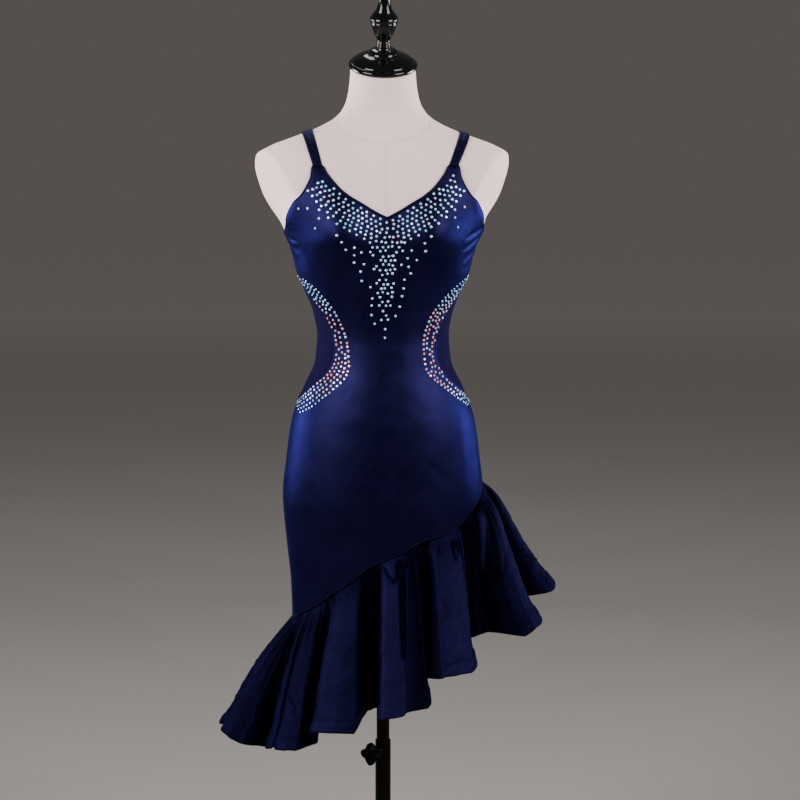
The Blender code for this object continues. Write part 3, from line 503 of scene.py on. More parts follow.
def patch(bottom, top, right_side, left_side):
    """Grid of (angle, height) between four edges, by Coons's rule.

    Each point is the blend of the side edges plus the blend of the bottom and top
    edges, less the blend of the corners.
    """
    u = np.linspace(0, 1, len(bottom))[None, :, None]
    rise = (right_side[:, 1] + left_side[:, 1]) / 2
    v = ((rise - rise[0]) / (rise[-1] - rise[0]))[:, None, None]
    across = (1 - u) * right_side[:, None] + u * left_side[:, None]
    below = bottom[None] - ((1 - u) * bottom[0] + u * bottom[-1])
    above = top[None] - ((1 - u) * top[0] + u * top[-1])
    return across + (1 - v) * below + v * above


def front_grid():
    """The front panel's (angle, height) grid, from the right side seam to the left."""
    armhole = through(FRONT_ARMHOLE, SIDE_ROWS.front_arm + 1)
    right = side_edge(-1, SIDE_CUT.front_reach, armhole) * (-1, 1)
    left = side_edge(1, SIDE_CUT.front_reach, armhole)
    angle = np.linspace(-SIDE_SEAM, SIDE_SEAM, FRONT_COLUMNS + 1)
    bottom = np.stack([angle, skirt_seam(angle)], -1)
    return patch(bottom, mirrored_top(NECKLINE, armhole[-1], FRONT_COLUMNS), right, left)


def back_grid():
    """The back panel's (angle, height) grid, from the left side seam to the right."""
    armhole = through(BACK_ARMHOLE, SIDE_ROWS.back_arm + 1)
    left = side_edge(1, SIDE_CUT.back_reach, armhole) * (-1, 1)
    right = side_edge(-1, SIDE_CUT.back_reach, armhole)
    angle = np.linspace(-SIDE_SEAM, SIDE_SEAM, BACK_COLUMNS + 1)
    bottom = np.stack([angle, skirt_seam(angle + 180)], -1)
    grid = patch(bottom, mirrored_top(BACK_NECKLINE, armhole[-1], BACK_COLUMNS), left, right)
    return grid + (180, 0)


# ---- meshes
def grid_index(rows, columns, start=0):
    """Vertex numbers of a grid, counted along each row in turn."""
    return start + np.arange(rows * columns).reshape(rows, columns)


def quads_of(index):
    """The quads of a grid of vertex numbers, facing out where rows rise and columns turn left."""
    corners = index[:-1, :-1], index[:-1, 1:], index[1:, 1:], index[1:, :-1]
    return np.stack(corners, -1).reshape(-1, 4)


def grid_normals(points):
    """Unit normals of a grid, from the differences of its neighbours."""
    normal = np.cross(np.gradient(points, axis=1), np.gradient(points, axis=0))
    return normal / np.maximum(norm(normal), 1e-12)[..., None]


def linked(name, data):
    """A new object of the data, in the scene."""
    made = bpy.data.objects.new(name, data)
    bpy.context.scene.collection.objects.link(made)
    return made


def put_piece(name, points, faces, material, body, slot, replaced=(), uv=None, smooth=True,
              colours=None):
    """A mesh object of the points and faces, on its body, with its material; its slot is not used.

    uv holds metres along and across the cloth at each point, and colours one colour for
    each point.
    """
    mesh = bpy.data.meshes.new(name)
    mesh.from_pydata(points.tolist(), [], faces if isinstance(faces, list) else faces.tolist())
    corner = np.empty(len(mesh.loops), np.int32)
    mesh.loops.foreach_get("vertex_index", corner)
    if uv is not None:
        layer = mesh.uv_layers.new(name="cloth")
        layer.uv.foreach_set("vector", uv[corner].astype(np.float32).ravel())
    if colours is not None:
        layer = mesh.color_attributes.new(name="tint", type="FLOAT_COLOR", domain="POINT")
        layer.data.foreach_set("color", colours.astype(np.float32).ravel())
    mesh.polygons.foreach_set("use_smooth", np.full(len(mesh.polygons), smooth))
    mesh.materials.append(material)
    mesh.update()
    made = linked(name, mesh)
    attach(made, body)
    if replaced:
        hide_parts(*replaced)
    return made


def cloth_shell(outer, thick, pinch=0.35):
    """Points and faces of a thin closed cloth: the outer grid, and one a thickness inside.

    Along its edges the two come closer by the pinch's share of the thickness, as a
    turned edge does.
    """
    rows, columns = outer.shape[:2]
    normals = grid_normals(outer)
    inner = outer - thick * normals
    edge = np.zeros((rows, columns, 1))
    edge[0], edge[-1], edge[:, 0], edge[:, -1] = 1, 1, 1, 1
    outer = outer - pinch * thick * edge * normals
    inner = inner + pinch * thick * edge * normals
    top, under = grid_index(rows, columns), grid_index(rows, columns, rows * columns)
    rim = np.concatenate([top[0, :], top[1:, -1], top[-1, -2::-1], top[-2:0:-1, 0]])
    following = np.roll(rim, -1)
    shift = rows * columns
    edges = np.stack([rim + shift, following + shift, following, rim], -1)
    faces = np.concatenate([quads_of(top), quads_of(under)[:, ::-1], edges])
    return np.concatenate([outer.reshape(-1, 3), inner.reshape(-1, 3)]), faces


def cloth_uv(outer):
    """Metres along the rows and up the columns, measured on the grid, for both faces."""
    across = norm(np.diff(outer, axis=1))
    up = norm(np.diff(outer, axis=0))
    u = np.concatenate([np.zeros((len(outer), 1)), np.cumsum(across, 1)], 1)
    u = u - u[:, u.shape[1] // 2:u.shape[1] // 2 + 1]
    v = np.concatenate([np.zeros((1, outer.shape[1])), np.cumsum(up, 0)], 0)
    uv = np.stack([u, v], -1).reshape(-1, 2)
    return np.concatenate([uv, uv])


def put_cloth(name, outer, thick, material, slot, replaced, pinch=0.35,
              painted_shadow=None):
    """A cloth piece from its outer grid.

    The painted shadow, a share for each point of the grid, is painted into the tint as shade, darker
    in the folds.
    """
    points, faces = cloth_shell(outer, thick, pinch)
    tint = None
    if painted_shadow is not None:
        # Painted shade: the tint darkens the cloth deep in its folds.
        tint = 1 - PAINTED_FOLD_SHADE * np.tile(painted_shadow.reshape(-1, 1), (2, 4))
        tint[:, 3] = 1
    made = put_piece(name, points, faces, material, "form", slot, replaced, cloth_uv(outer),
                     colours=tint)
    return made


def crease_lift(points, line, width, depth):
    """How far one crease lifts each point: a bell across the line, fading at its ends."""
    start, way = line[:-1], np.diff(line, axis=0)
    toward = points[..., None, :] - start
    along = np.clip((toward * way).sum(-1) / (way * way).sum(-1), 0, 1)
    gap = norm(toward - along[..., None] * way)
    nearest = gap.argmin(-1)[..., None]
    at = (nearest + np.take_along_axis(along, nearest, -1))[..., 0] / len(way)
    fade = np.sqrt(np.clip(np.sin(math.pi * np.clip(at, 0, 1)), 0, 1))
    gap = np.take_along_axis(gap, nearest, -1)[..., 0]
    return depth * fade * bell(gap, width)


def ripple(along, up, seed_shift, amount):
    """Low waves of the cloth: a few sines of different lengths and directions, added up."""
    rng = np.random.default_rng(RIPPLE.seed + seed_shift)
    total = np.zeros_like(along)
    for wave in np.linspace(RIPPLE.longest, RIPPLE.shortest, RIPPLE.count):
        turn, phase = rng.uniform(0, math.pi), rng.uniform(0, 2 * math.pi)
        total += np.sin(2 * math.pi / wave * (along * math.cos(turn) + up * math.sin(turn))
                        + phase)
    return amount * total


def panel_out(grid, creases, turn):
    """How far out a panel lies: its gap, its creases, low waves and puckers at the seam."""
    base = figure(grid[..., 0], grid[..., 1])
    out = np.full(grid.shape[:2], SATIN_OUT)
    share = np.linspace(0, 1, 7)
    for a0, z0, a1, z1, width, depth in zip(*creases.values()):
        line = figure(turn + a0 + (a1 - a0) * share, z0 + (z1 - z0) * share)
        out = out + crease_lift(base, line, width, depth)
    out = out + ripple(grid[..., 0] * METRES_PER_DEGREE, grid[..., 1], int(turn), RIPPLE.body)
    above = grid[..., 1] - skirt_seam(grid[..., 0])
    wave = seam_wave(grid[..., 0])
    out = out - SEAM_PRESS.share * wave * bell(above, SEAM_PRESS.wide)
    return np.maximum(out, LEAST_OUT)


def put_front_and_back(sizes, satin):
    """The two satin panels, from the skirt's seam to the straps."""
    for name, grid, creases, turn, node in (
            ("satin_front", front_grid(), FRONT_CREASES, 0, "front_panel"),
            ("satin_back", back_grid(), BACK_CREASES, 180, "back_panel")):
        outer = worn(grid, panel_out(grid, creases, turn))
        put_cloth(name, outer, sizes.cloth, satin, "satin", (node,))


# ---- straps, edges and insets
def strap_line(side, top_x, share, width, steps):
    """One lengthwise line of a strap over the shoulder, as (angle, height).

    share runs from -1 at the strap's inner edge to 1 at its outer edge. The line keeps
    to a chosen distance from the centre plane, from the front panel's top up to the
    shoulder and down to the back panel's top.
    """
    lines = []
    for neck, arm, end in ((NECKLINE, FRONT_ARMHOLE, 1), (BACK_NECKLINE, BACK_ARMHOLE, -1)):
        angle = np.interp(share, (-1, 1), (neck["angle"][-1], arm["angle"][-1]))
        foot = figure(angle if end > 0 else 180 - angle, neck["height"][-1])
        x_top = top_x + share * width / 2
        peak = np.interp(-x_top, -FIGURE["half_width"][SHOULDER_RINGS],
                         FIGURE["height"][SHOULDER_RINGS])
        fine = np.linspace(foot[2], peak, 400)
        climb = (fine - foot[2]) / (peak - foot[2])
        turn = angle_at(foot[0] + (x_top - foot[0]) * climb, fine)
        lines.append(np.stack([turn if end > 0 else 180 - turn, fine], -1))
    path = np.concatenate([lines[0], lines[1][::-1]])
    run = run_along(figure(*path.T))
    line = read_off(np.linspace(0, run[-1], steps), run, path)
    return line * (side, 1), run[-1]


def strap_out(share, along, length):
    """How far out a strap lies: a crown, a soft fold, wrinkles, puckers and sewn laps.

    The crown is 1 less the fifth power of the share across. The fold is a bell across,
    the wrinkles are two sines along, and puckers and laps die away from each end.
    """
    short, long = 520, 61  # the wrinkles' two sines, in radians to the metre
    crown = STRAP.crown * (1 - np.abs(share) ** 5)
    fold = -STRAP.fold * bell(share - STRAP.fold_at, STRAP.fold_wide)
    end = np.minimum(along, length - along)
    wrinkle = STRAP.wrinkle * np.sin(along * short + share * STRAP.slant) * np.sin(along * long)
    pucker = STRAP.pucker * np.sin(share * STRAP.puckers) * np.exp(-end / STRAP.pucker_long)
    lap = STRAP.lap * bell(end, STRAP.lap_long)
    return STRAP.out + crown + fold + wrinkle + pucker + lap


def put_straps(sizes, satin):
    """Two folded straps, each a grid of lengthwise lines over the shoulder."""
    across = np.linspace(-1, 1, STRAP.lines)
    for name, side, top_x in (("strap_band_right", -1, STRAP_TOP.right),
                              ("strap_band_left", 1, STRAP_TOP.left)):
        lines, length = [], 0
        for share in across:
            line, length = strap_line(side, top_x, share, sizes.strap_width, STRAP.steps)
            lines.append(line)
        grid = np.stack(lines[::-1] if side < 0 else lines, 1)
        along = np.linspace(0, length, len(grid))[:, None]
        share = across[::-1][None] if side < 0 else across[None]
        outer = worn(grid, strap_out(share, along, length))
        node = "strap_right" if side < 0 else "strap_left"
        put_cloth(name, outer, STRAP.thick, satin, "satin", (node,),
                  0.2)


def edge_roll(path, roll):
    """A narrow rolled edge of the roll's size along a path of (angle, height).

    Each section is an ellipse across the path, sunk a little in the cloth and flattened
    underneath, and the two at the ends are small.
    """
    centre = worn(path, SATIN_OUT - roll.sunk)
    normal = outward(*path.T)
    sideways = np.cross(normal, unit(np.gradient(centre, axis=0)))
    turn = np.linspace(0, 2 * math.pi, roll.sections, endpoint=False)
    shape = np.ones(len(path))
    shape[0] = shape[-1] = ROLL_END
    across = np.cos(turn)[None] * roll.half_width * shape[:, None]
    up = np.maximum(np.sin(turn), -ROLL_FLAT)[None] * roll.rise * shape[:, None]
    points = (centre[:, None] + across[..., None] * sideways[:, None]
              + up[..., None] * normal[:, None])
    index = grid_index(len(path), roll.sections)
    wrapped = np.concatenate([index, index[:, :1]], 1)
    faces = quads_of(wrapped)[:, ::-1].tolist()
    faces += [index[0].tolist(), index[-1, ::-1].tolist()]
    along = run_along(centre)[:, None]
    uv = np.stack(np.broadcast_arrays((turn * roll.half_width)[None], along), -1)
    return points.reshape(-1, 3), faces, uv.reshape(-1, 2)


def joined(shells):
    """Several shells' points and faces as one, with the faces' numbers moved on."""
    faces, start = [], 0
    for points, shell_faces, *_ in shells:
        faces += [[corner + start for corner in face] for face in shell_faces]
        start += len(points)
    return np.concatenate([shell[0] for shell in shells]), faces


def resampled(path, step):
    """The path of (angle, height) at even steps in metres over the figure."""
    run = run_along(figure(*path.T))
    return read_off(np.linspace(0, run[-1], max(4, int(run[-1] / step))), run, path)


def on_back(path):
    """A back path, counted from the centre back, turned to angles from the centre front."""
    return (2 * SIDE_SEAM, 0) - path * (1, -1)


def body_edges():
    """The dress's finished edges by name, as paths of (angle, height)."""
    arm, back_arm = through(FRONT_ARMHOLE, 120), through(BACK_ARMHOLE, 90)
    edges = {"neck": both_sides(through(NECKLINE, 120)),
             "back_neck": both_sides(through(BACK_NECKLINE, 90)) + (180, 0)}
    for side, word in SIDES:
        edges["arm_" + word] = np.concatenate([
            on_back(back_arm)[::-1] * (side, 1), arm[1:] * (side, 1)])
        edges["cut_" + word] = side_cut(SIDE_CUT.front_reach) * (side, 1)
        edges["back_cut_" + word] = on_back(side_cut(SIDE_CUT.back_reach)) * (side, 1)
    return edges


def put_edges(binding_satin_painted_dark, satin):
    """The neck binding, and the rolled edges of the armholes, back and side openings.

    Both are cut 10 mm wide and folded. Their area is what shows, rolled out flat.
    """
    edges = body_edges()
    points, faces, uv = edge_roll(resampled(edges["neck"], EDGE_STEP), BINDING)
    bound = put_piece("neck_binding", points, faces, binding_satin_painted_dark, "form", "satin",
                      ("neckline_binding",), uv)
    rolls = [edge_roll(resampled(edges[name], EDGE_STEP), ROLL)
             for name in edges if name != "neck"]
    uv = np.concatenate([roll[2] for roll in rolls])
    rolled = put_piece("rolled_edges", *joined(rolls), satin, "form", "satin", (), uv)


def put_side_nets(sizes, net):
    """The stretched net in each side opening: straight lines from its front edge to its back.

    Its tips are blunted and tucked in, so that no face there is a sliver.
    """
    for side, word in SIDES:
        front = side_cut(SIDE_CUT.front_reach)
        back = on_back(side_cut(SIDE_CUT.back_reach))
        blunt, tuck = 0.5, 0.0006  # in degrees, and in metres
        for row, lift in ((0, tuck), (-1, -tuck)):
            front[row] = (SIDE_SEAM - blunt, front[row, 1] + lift)
            back[row] = (SIDE_SEAM + blunt, back[row, 1] + lift)
        share = np.linspace(0, 1, 41)[None, :, None]
        grid = (1 - share) * front[:, None] + share * back[:, None]
        if side < 0:
            grid = grid[:, ::-1] * (-1, 1)
        out = NET_OUT + ripple(grid[..., 0] * METRES_PER_DEGREE, grid[..., 1], 40 + side,
                               RIPPLE.body)
        put_cloth("side_net_" + word, worn(grid, out), sizes.net, net, "sheer_mesh",
                  ("side_mesh_" + word,))


# ---- flounce
def fold_columns():
    """Each column's place among the fold lines, and what the folds' table says there.

    Between two fold lines the reach follows half a cosine, with its crest broadened,
    and the hem angle moves slowest half way, which makes the flanks steep.
    """
    steps = len(FOLDS["reach"]) - 1
    at = np.arange(steps * FOLD_SAMPLES + 1) / FOLD_SAMPLES
    k = np.minimum(at.astype(int), steps - 1)
    t = at - k
    column = {"step": at}
    eased = t + FLANK * np.sin(2 * math.pi * t) / (2 * math.pi)
    for name, way in (("seam_angle", t), ("hem_height", t), ("light", t), ("hem_angle", eased)):
        column[name] = FOLDS[name][k] * (1 - way) + FOLDS[name][k + 1] * way
    here, after = FOLDS["reach"][k], FOLDS["reach"][k + 1]
    crest, valley = np.maximum(here, after), np.minimum(here, after)
    height = 0.5 + 0.5 * np.cos(math.pi * np.where(after > here, 1 - t, t))
    column["reach"] = valley + (crest - valley) * height ** CREST
    column["crest"] = np.clip((column["reach"] - DEEPEST) / (1 - DEEPEST), 0, 1)
    return column


def flounce_creases():
    """The placed creases, then seeded gathers behind and crumples all round."""
    rows = np.stack(list(FLOUNCE_CREASES.values()), -1)
    rng = np.random.default_rng(GATHERS.seed)
    angle = np.arange(GATHERS.first, GATHERS.last, GATHERS.step)
    angle = angle + rng.uniform(-1, 1, len(angle)) * GATHERS.uneven
    some = rng.uniform(0.5, 1.5, (3, len(angle)))
    slant = rng.uniform(-GATHERS.slant, GATHERS.slant, len(angle))
    behind = np.stack([angle, np.full_like(angle, GATHERS.fall), angle + slant,
                       GATHERS.length * some[0], GATHERS.width * some[1],
                       -GATHERS.depth * some[2]], -1)
    rng = np.random.default_rng(CRUMPLES.seed)
    count, turn, length = CRUMPLES.count, CRUMPLES.turn, CRUMPLES.length
    angle = rng.uniform(*CRUMPLES.angle, count)
    fall = rng.uniform(*CRUMPLES.fall, count)
    crumples = np.stack([angle, fall, angle + rng.uniform(-turn, turn, count),
                         fall + rng.uniform(-length, length, count),
                         CRUMPLES.width * rng.uniform(0.6, 1.4, count),
                         CRUMPLES.depth * rng.uniform(-1, 0.5, count)], -1)
    return np.concatenate([rows, behind, crumples])


def on_flounce(points, fall, step, share):
    """Points of the flounce at fold steps and shares of the fall, between its columns."""
    column = np.clip(step * FOLD_SAMPLES, 0, points.shape[1] - 1.001)
    left = column.astype(int)
    blend = (column - left)[:, None]
    found = []
    for side in (left, left + 1):
        row = np.array([np.interp(s, fall[:, k], np.arange(len(fall)))
                        for s, k in zip(share, side)])
        low = np.minimum(row.astype(int), len(fall) - 2)
        part = (row - low)[:, None]
        found.append(points[low, side] * (1 - part) + points[low + 1, side] * part)
    return found[0] * (1 - blend) + found[1] * blend


def flounce_sheet(column, band):
    """The flounce before its creases, seam first, with each point's share of the fall.

    Each column starts under the skirt's edge and falls in a straight line from the seam
    to its place at the hem. The crests belly out on the way, early on the left and half
    way down on the right, and the hem turns out. The columns' lengths come with it.
    """
    angle = column["seam_angle"]
    seam = worn(np.stack([angle, skirt_seam(angle)], -1), TUCK.out)
    turn = np.radians(column["hem_angle"])
    plan = np.stack([HEM_ELLIPSE.across * np.sin(turn), -HEM_ELLIPSE.deep * np.cos(turn)], -1)
    hem = np.concatenate([plan * column["reach"][:, None], column["hem_height"][:, None]], -1)
    length = norm(hem - seam)
    away = np.concatenate([unit(plan), np.zeros((len(plan), 1))], -1)
    left = 0.5 + 0.5 * np.sin(np.radians(angle))
    upper = np.linspace(0, 1, FALL_STEPS + 1)[:, None] ** FALL_POWER
    top_of_band = 1 - band / length
    in_band = np.linspace(0, 1, BAND_STEPS + 1)[1:, None]
    fall = np.concatenate([upper * top_of_band, top_of_band + in_band * band / length])
    early = fall / PUFF.at
    belly = left * early * np.exp(1 - early) + (1 - left) * np.sin(math.pi * fall)
    out = (HEM_KICK.out * smooth_step(HEM_KICK.starts, 1, fall)
           + PUFF.out * column["crest"] * belly)
    return seam + (hem - seam) * fall[..., None] + away * out[..., None], fall, length


def painted_fold_shadow(column, gathered):
    """How much painted shade each point takes in its fold: 1 less the painted light, from crests and
    gathers.
    """
    light = PAINTED_FOLD_LIGHT
    lit = smooth_step(light.valley, light.crest, column["crest"]) * column["light"]
    lit = lit * (1 - light.gather * smooth_step(*light.gather_deep, -gathered))
    return (1 - lit) * (1 - light.ridge * smooth_step(*light.ridge_tall, gathered))


def flounce_points(band):
    """The flounce's outer surface, hem first, and how much painted shade each point takes in its
    fold.

    The creases' bells and low waves are added up and move the sheet along its normals,
    and a last row goes up under the skirt's edge.
    """
    column = fold_columns()
    angle, step = column["seam_angle"], column["step"]
    points, fall, length = flounce_sheet(column, band)
    wrapped = np.concatenate([points[:, -2:-1], points, points[:, 1:2]], 1)
    normals = -grid_normals(wrapped)[:, 1:-1]
    lift, gathered = np.zeros(fall.shape), np.zeros(fall.shape)
    share = np.linspace(0, 1, 9)
    for a0, f0, a1, f1, width, depth in flounce_creases():
        at = np.interp(a0 + (a1 - a0) * share, FOLDS["seam_angle"], np.arange(len(FOLDS["reach"])))
        line = on_flounce(points, fall, at, f0 + (f1 - f0) * share)
        near = np.flatnonzero(np.abs(step - at.mean()) < 1.1 + np.ptp(at) / 2)
        press = crease_lift(points[:, near], line, width, depth)
        lift[:, near] += press
        gathered[:, near] += press * (f0 < 0.05)
    painted_shadow = painted_fold_shadow(column, gathered)
    along = np.cumsum(norm(np.gradient(points, axis=1)), 1)
    lift += ripple(along, fall * length, 7, RIPPLE.flounce) * smooth_step(0.1, 0.4, fall)
    lift *= smooth_step(0, 0.05, fall)
    lift[:, -1] = lift[:, 0] = (lift[:, 0] + lift[:, -1]) / 2
    points = points + normals * lift[..., None]
    tucked = worn(np.stack([angle, skirt_seam(angle) + TUCK.rise], -1), TUCK.out)
    return (np.concatenate([tucked[None], points])[::-1],
            np.concatenate([painted_shadow[:1], painted_shadow])[::-1])


def put_flounce(sizes, satin, band_satin_painted_light):
    """The flounce's front and back halves, with the stiffened band along each hem."""
    points, painted_shadow = flounce_points(sizes.hem_band)
    split = FRONT_FOLDS * FOLD_SAMPLES
    lift = BAND.out + BAND.crown * BAND.profile[:, None, None]
    for word, part in (("front", np.s_[:, :split + 1]), ("back", np.s_[:, split:])):
        outer = points[part]
        put_cloth("flounce_cloth_" + word, outer, sizes.cloth, satin, "satin",
                  ("flounce_" + word,),
                  painted_shadow=painted_shadow[part])
        band = outer[:BAND_STEPS + 1]
        put_cloth("hem_facing_" + word, band + grid_normals(band) * lift, BAND.thick,
                  band_satin_painted_light, "satin", ("hem_band_" + word,),
                  0.3, painted_shadow[part][:BAND_STEPS + 1])
    return points


# ---- stitches and stones
def small_shapes(shape, faces, centre, normal, run, size):
    """One mesh of a small shape repeated at each centre, on its normal and along its run."""
    run = unit(run - normal * (run * normal).sum(-1, keepdims=True))
    sideways = np.cross(normal, run)
    axes = np.stack([run, sideways, normal], 1)
    points = centre[:, None] + np.einsum("pk,nkj->npj", shape, axes) * size[:, None, None]
    start = np.arange(len(centre))[:, None, None] * len(shape)
    return points.reshape(-1, 3), (faces[None] + start).reshape(-1, faces.shape[1])


def stitch_row(points, normals, pitch):
    """Places, normals and directions of stitches evenly along a line of points."""
    run = run_along(points)
    at = np.arange(pitch / 2, run[-1], pitch)
    place, ahead = read_off(at, run, points), read_off(at + pitch / 3, run, points)
    return place, unit(read_off(at, run, normals)), ahead - place


def inset_path(path, distance):
    """The path moved sideways over the figure by a distance in metres, to its left.

    Its direction is turned a quarter in the cloth's own plane, where a degree is as wide
    as the figure is there.
    """
    angle, height = path.T
    wide = norm(figure(angle + 0.5, height) - figure(angle - 0.5, height))
    flat = unit(np.stack([np.gradient(angle) * wide, np.gradient(height)], -1))
    return path + distance * np.stack([-flat[:, 1] / wide, flat[:, 0]], -1)


# A stitch: half its length, width and height as shares of the pitch, and how far its rows
# lie off the satin, above the skirt seam and off the flounce, on which row of its band.
STITCH = Sizes(long=0.38, wide=0.1, tall=0.09, out=0.0003, above_seam=0.003, seam_out=0.0002,
               band_out=0.001, band_row=9)
# How far each edge's stitches lie from it, to the left of its direction.
STITCH_INSET = dict(neck=-0.0045, back_neck=0.004, arm_left=0.004, arm_right=-0.004,
                    cut_left=0.004, cut_right=-0.004,
                    back_cut_left=-0.004, back_cut_right=0.004)


def put_stitches(sizes, thread, flounce):
    """Thread stitches along the edges, the skirt seam and the top of the hem bands.

    A stitch is a lens of eight faces, as long as three quarters of its pitch.
    """
    long, wide, tall = STITCH.long, STITCH.wide, STITCH.tall
    shape = np.array([(-long, 0, 0), (0, -wide, 0), (long, 0, 0), (0, wide, 0),
                      (0, 0, tall), (0, 0, -tall)])
    faces = np.array([(0, 1, 4), (1, 2, 4), (2, 3, 4), (3, 0, 4),
                      (1, 0, 5), (2, 1, 5), (3, 2, 5), (0, 3, 5)])
    lines = []
    for name, path in body_edges().items():
        line = inset_path(resampled(path, EDGE_STEP), STITCH_INSET[name])[2:-2]
        lines.append((worn(line, SATIN_OUT + STITCH.out), outward(*line.T)))
    angle = np.linspace(-180, 180, 721)
    line = np.stack([angle, skirt_seam(angle) + STITCH.above_seam], -1)
    out = SATIN_OUT + STITCH.seam_out - SEAM_PRESS.share * seam_wave(angle)
    lines.append((worn(line, out), outward(*line.T)))
    row, normals = STITCH.band_row, grid_normals(flounce)
    lines.append((flounce[row] + normals[row] * STITCH.band_out, normals[row]))
    pitch = sizes.stitch_pitch
    rows = [stitch_row(points, normals, pitch) for points, normals in lines]
    place, facing, run = (np.concatenate(part) for part in zip(*rows))
    points, faces = small_shapes(shape, faces, place, facing, run, np.full(len(place), pitch))
    put_piece("stitching", points, faces, thread, "form", "satin")


# A stone of radius 1: its table's radius and height, the height of its girdle, and the
# radius and height of its back. Then its points, as stone_shape numbers them.
STONE = dict(table=0.58, top=0.62, girdle=0.24, foot=0.96, back=-0.05)
TABLE_POINTS, CROWN_POINTS, FOOT_POINTS, BACK_POINT = np.r_[0:8, 24], np.s_[8:16], np.s_[16:24], 25


def stone_shape():
    """A cut stone on a flat back: an eight-sided table, crown, girdle and base, radius 1."""
    turn = np.arange(8) * math.pi / 4
    ring = np.stack([np.cos(turn), np.sin(turn), np.zeros(8)], -1)
    skew = np.stack([np.cos(turn + math.pi / 8), np.sin(turn + math.pi / 8), np.zeros(8)], -1)
    top, girdle, back = ((0, 0, STONE[name]) for name in ("top", "girdle", "back"))
    points = np.concatenate([skew * STONE["table"] + top, ring + girdle,
                             ring * STONE["foot"] + back, [top], [back]])
    k = np.arange(8)
    after = (k + 1) % 8
    table_top = np.stack([k, after, np.full(8, 24)], -1)
    crown = np.concatenate([np.stack([8 + k, 8 + after, k], -1),
                            np.stack([8 + after, after, k], -1)])
    girdle = np.concatenate([np.stack([16 + k, 16 + after, 8 + after], -1),
                             np.stack([16 + k, 8 + after, 8 + k], -1)])
    base = np.stack([16 + after, 16 + k, np.full(8, 25)], -1)
    return points, np.concatenate([table_top, crown, girdle, base])


# Rows of stones under the neckline: how far down, how far apart, and the shares of the
# arm, from the V's point to the strap, between which they lie.
NECK_ROWS = table("down/10000 apart/10000 start/100 end/100", [
    (62, 120, 4, 80), (122, 80, 0, 93), (186, 79, 0, 97),
    (250, 79, 0, 98), (314, 80, 2, 98), (378, 84, 3, 90),
    (442, 110, 4, 72), (540, 180, 50, 90), (670, 230, 55, 86),
])
# The column down the centre front: its rows, its stray last stone, how uneven it is, and
# half its width at each height.
COLUMN = Sizes(top=1.218, low=1.048, row=0.0072, pitch=0.0082, middle=-0.002, last=(-1, 1.0385),
               uneven_across=0.0022, uneven_up=0.0016, missing=0.12, wide=table("height half", [
                  (1.218, 0.034), (1.19, 0.031), (1.168, 0.024), (1.148, 0.0175),
                  (1.12, 0.015), (1.098, 0.0105), (1.078, 0.0065), (1.06, 0.003),
                  (1.048, 0.0005)]))
# Scattered stones on both sides of the column, and how far out they reach at each height.
SCATTER = Sizes(seed=8, tries=560, apart=0.0112, wide=table("height half", [
    (1.245, 0.112), (1.22, 0.09), (1.19, 0.07), (1.16, 0.052), (1.12, 0.034),
    (1.06, 0.018)]))
# How uneven the neck's rows are, as shares of their pitch, and where they have to stop:
# under the edge, below the strap's seam, and short of the armhole.
NECK_STONES = Sizes(uneven_along=0.11, uneven_down=0.08, below_edge=0.004, top=1.289,
                    widest=44, off_armhole=2.6)
# The crescents beside the side openings: the rows between the opening's edge, at 0, and
# the inner edge, at 1, and that edge from its lower tip to its upper one.
CRESCENT = dict(
    tip=89, taper=16, rows=(0.9, 0.68, 0.46, 0.24, 0.04), inset=0.0035, pitch=0.0076,
    starts=(0.001, 0.004), uneven_along=0.001, uneven=(0.22, 0.0005), middle=1.015, half=0.11,
    right=table("angle height", [
        (84, 0.906), (59, 0.92), (46, 0.94), (37, 0.9575), (30.5, 0.9725), (29, 0.9875),
        (30, 1.005), (32.5, 1.03), (37, 1.055), (42, 1.0775), (49, 1.0975), (59.5, 1.12),
        (84, 1.135)]),
    left=table("angle height", [
        (86, 0.909), (55, 0.94), (43, 0.96), (35.5, 0.9725), (31, 0.995), (31, 1.0175),
        (32, 1.04), (36, 1.0675), (42.5, 1.0875), (51, 1.1075), (84, 1.138)]),
)
STONE_SEED = 21
# A stone's tilt and smallest size, its size at the crescents' tips and the middle's gain,
# the shares that blush there and at the neck, and how faintly there.
STONE_MAKE = Sizes(tilt=0.05, least=0.86, tip=0.8, gain=0.2, blush=0.86, neck=0.13, faint=0.6)
# The least distance between stones, in radii: on the neck, and at the ends of a crescent
# with what its middle adds.
STONE_GAP = Sizes(neck=2.15, crescent=1.85, middle=0.5)
# How stones are tinted and shaded: the share of warm ones among those that blush, how white
# a stone may be, how much its blush dulls the painted highlight on its table, the most
# painted highlight a table takes on the neck and on the crescents, and the painted shade
# on its crown's corners, with its power, and on its base.
STONE_TINT_AND_PAINTED_LIGHT = Sizes(warm=0.62, white=0.25, blush_dulls=0.75, table_neck=0.8, table_crescent=0.45,
                   crown=(0.05, 0.9), crown_power=1.5, base=0.15)


def spaced(places, least):
    """Which places stay when each keeps its least distance from those kept before it."""
    gap = norm(places[:, None] - places[None])
    least = np.broadcast_to(least, len(places))
    kept = np.zeros(len(places), bool)
    for number, row in enumerate(gap):
        kept[number] = not (row[:number][kept[:number]] < least[number]).any()
    return kept


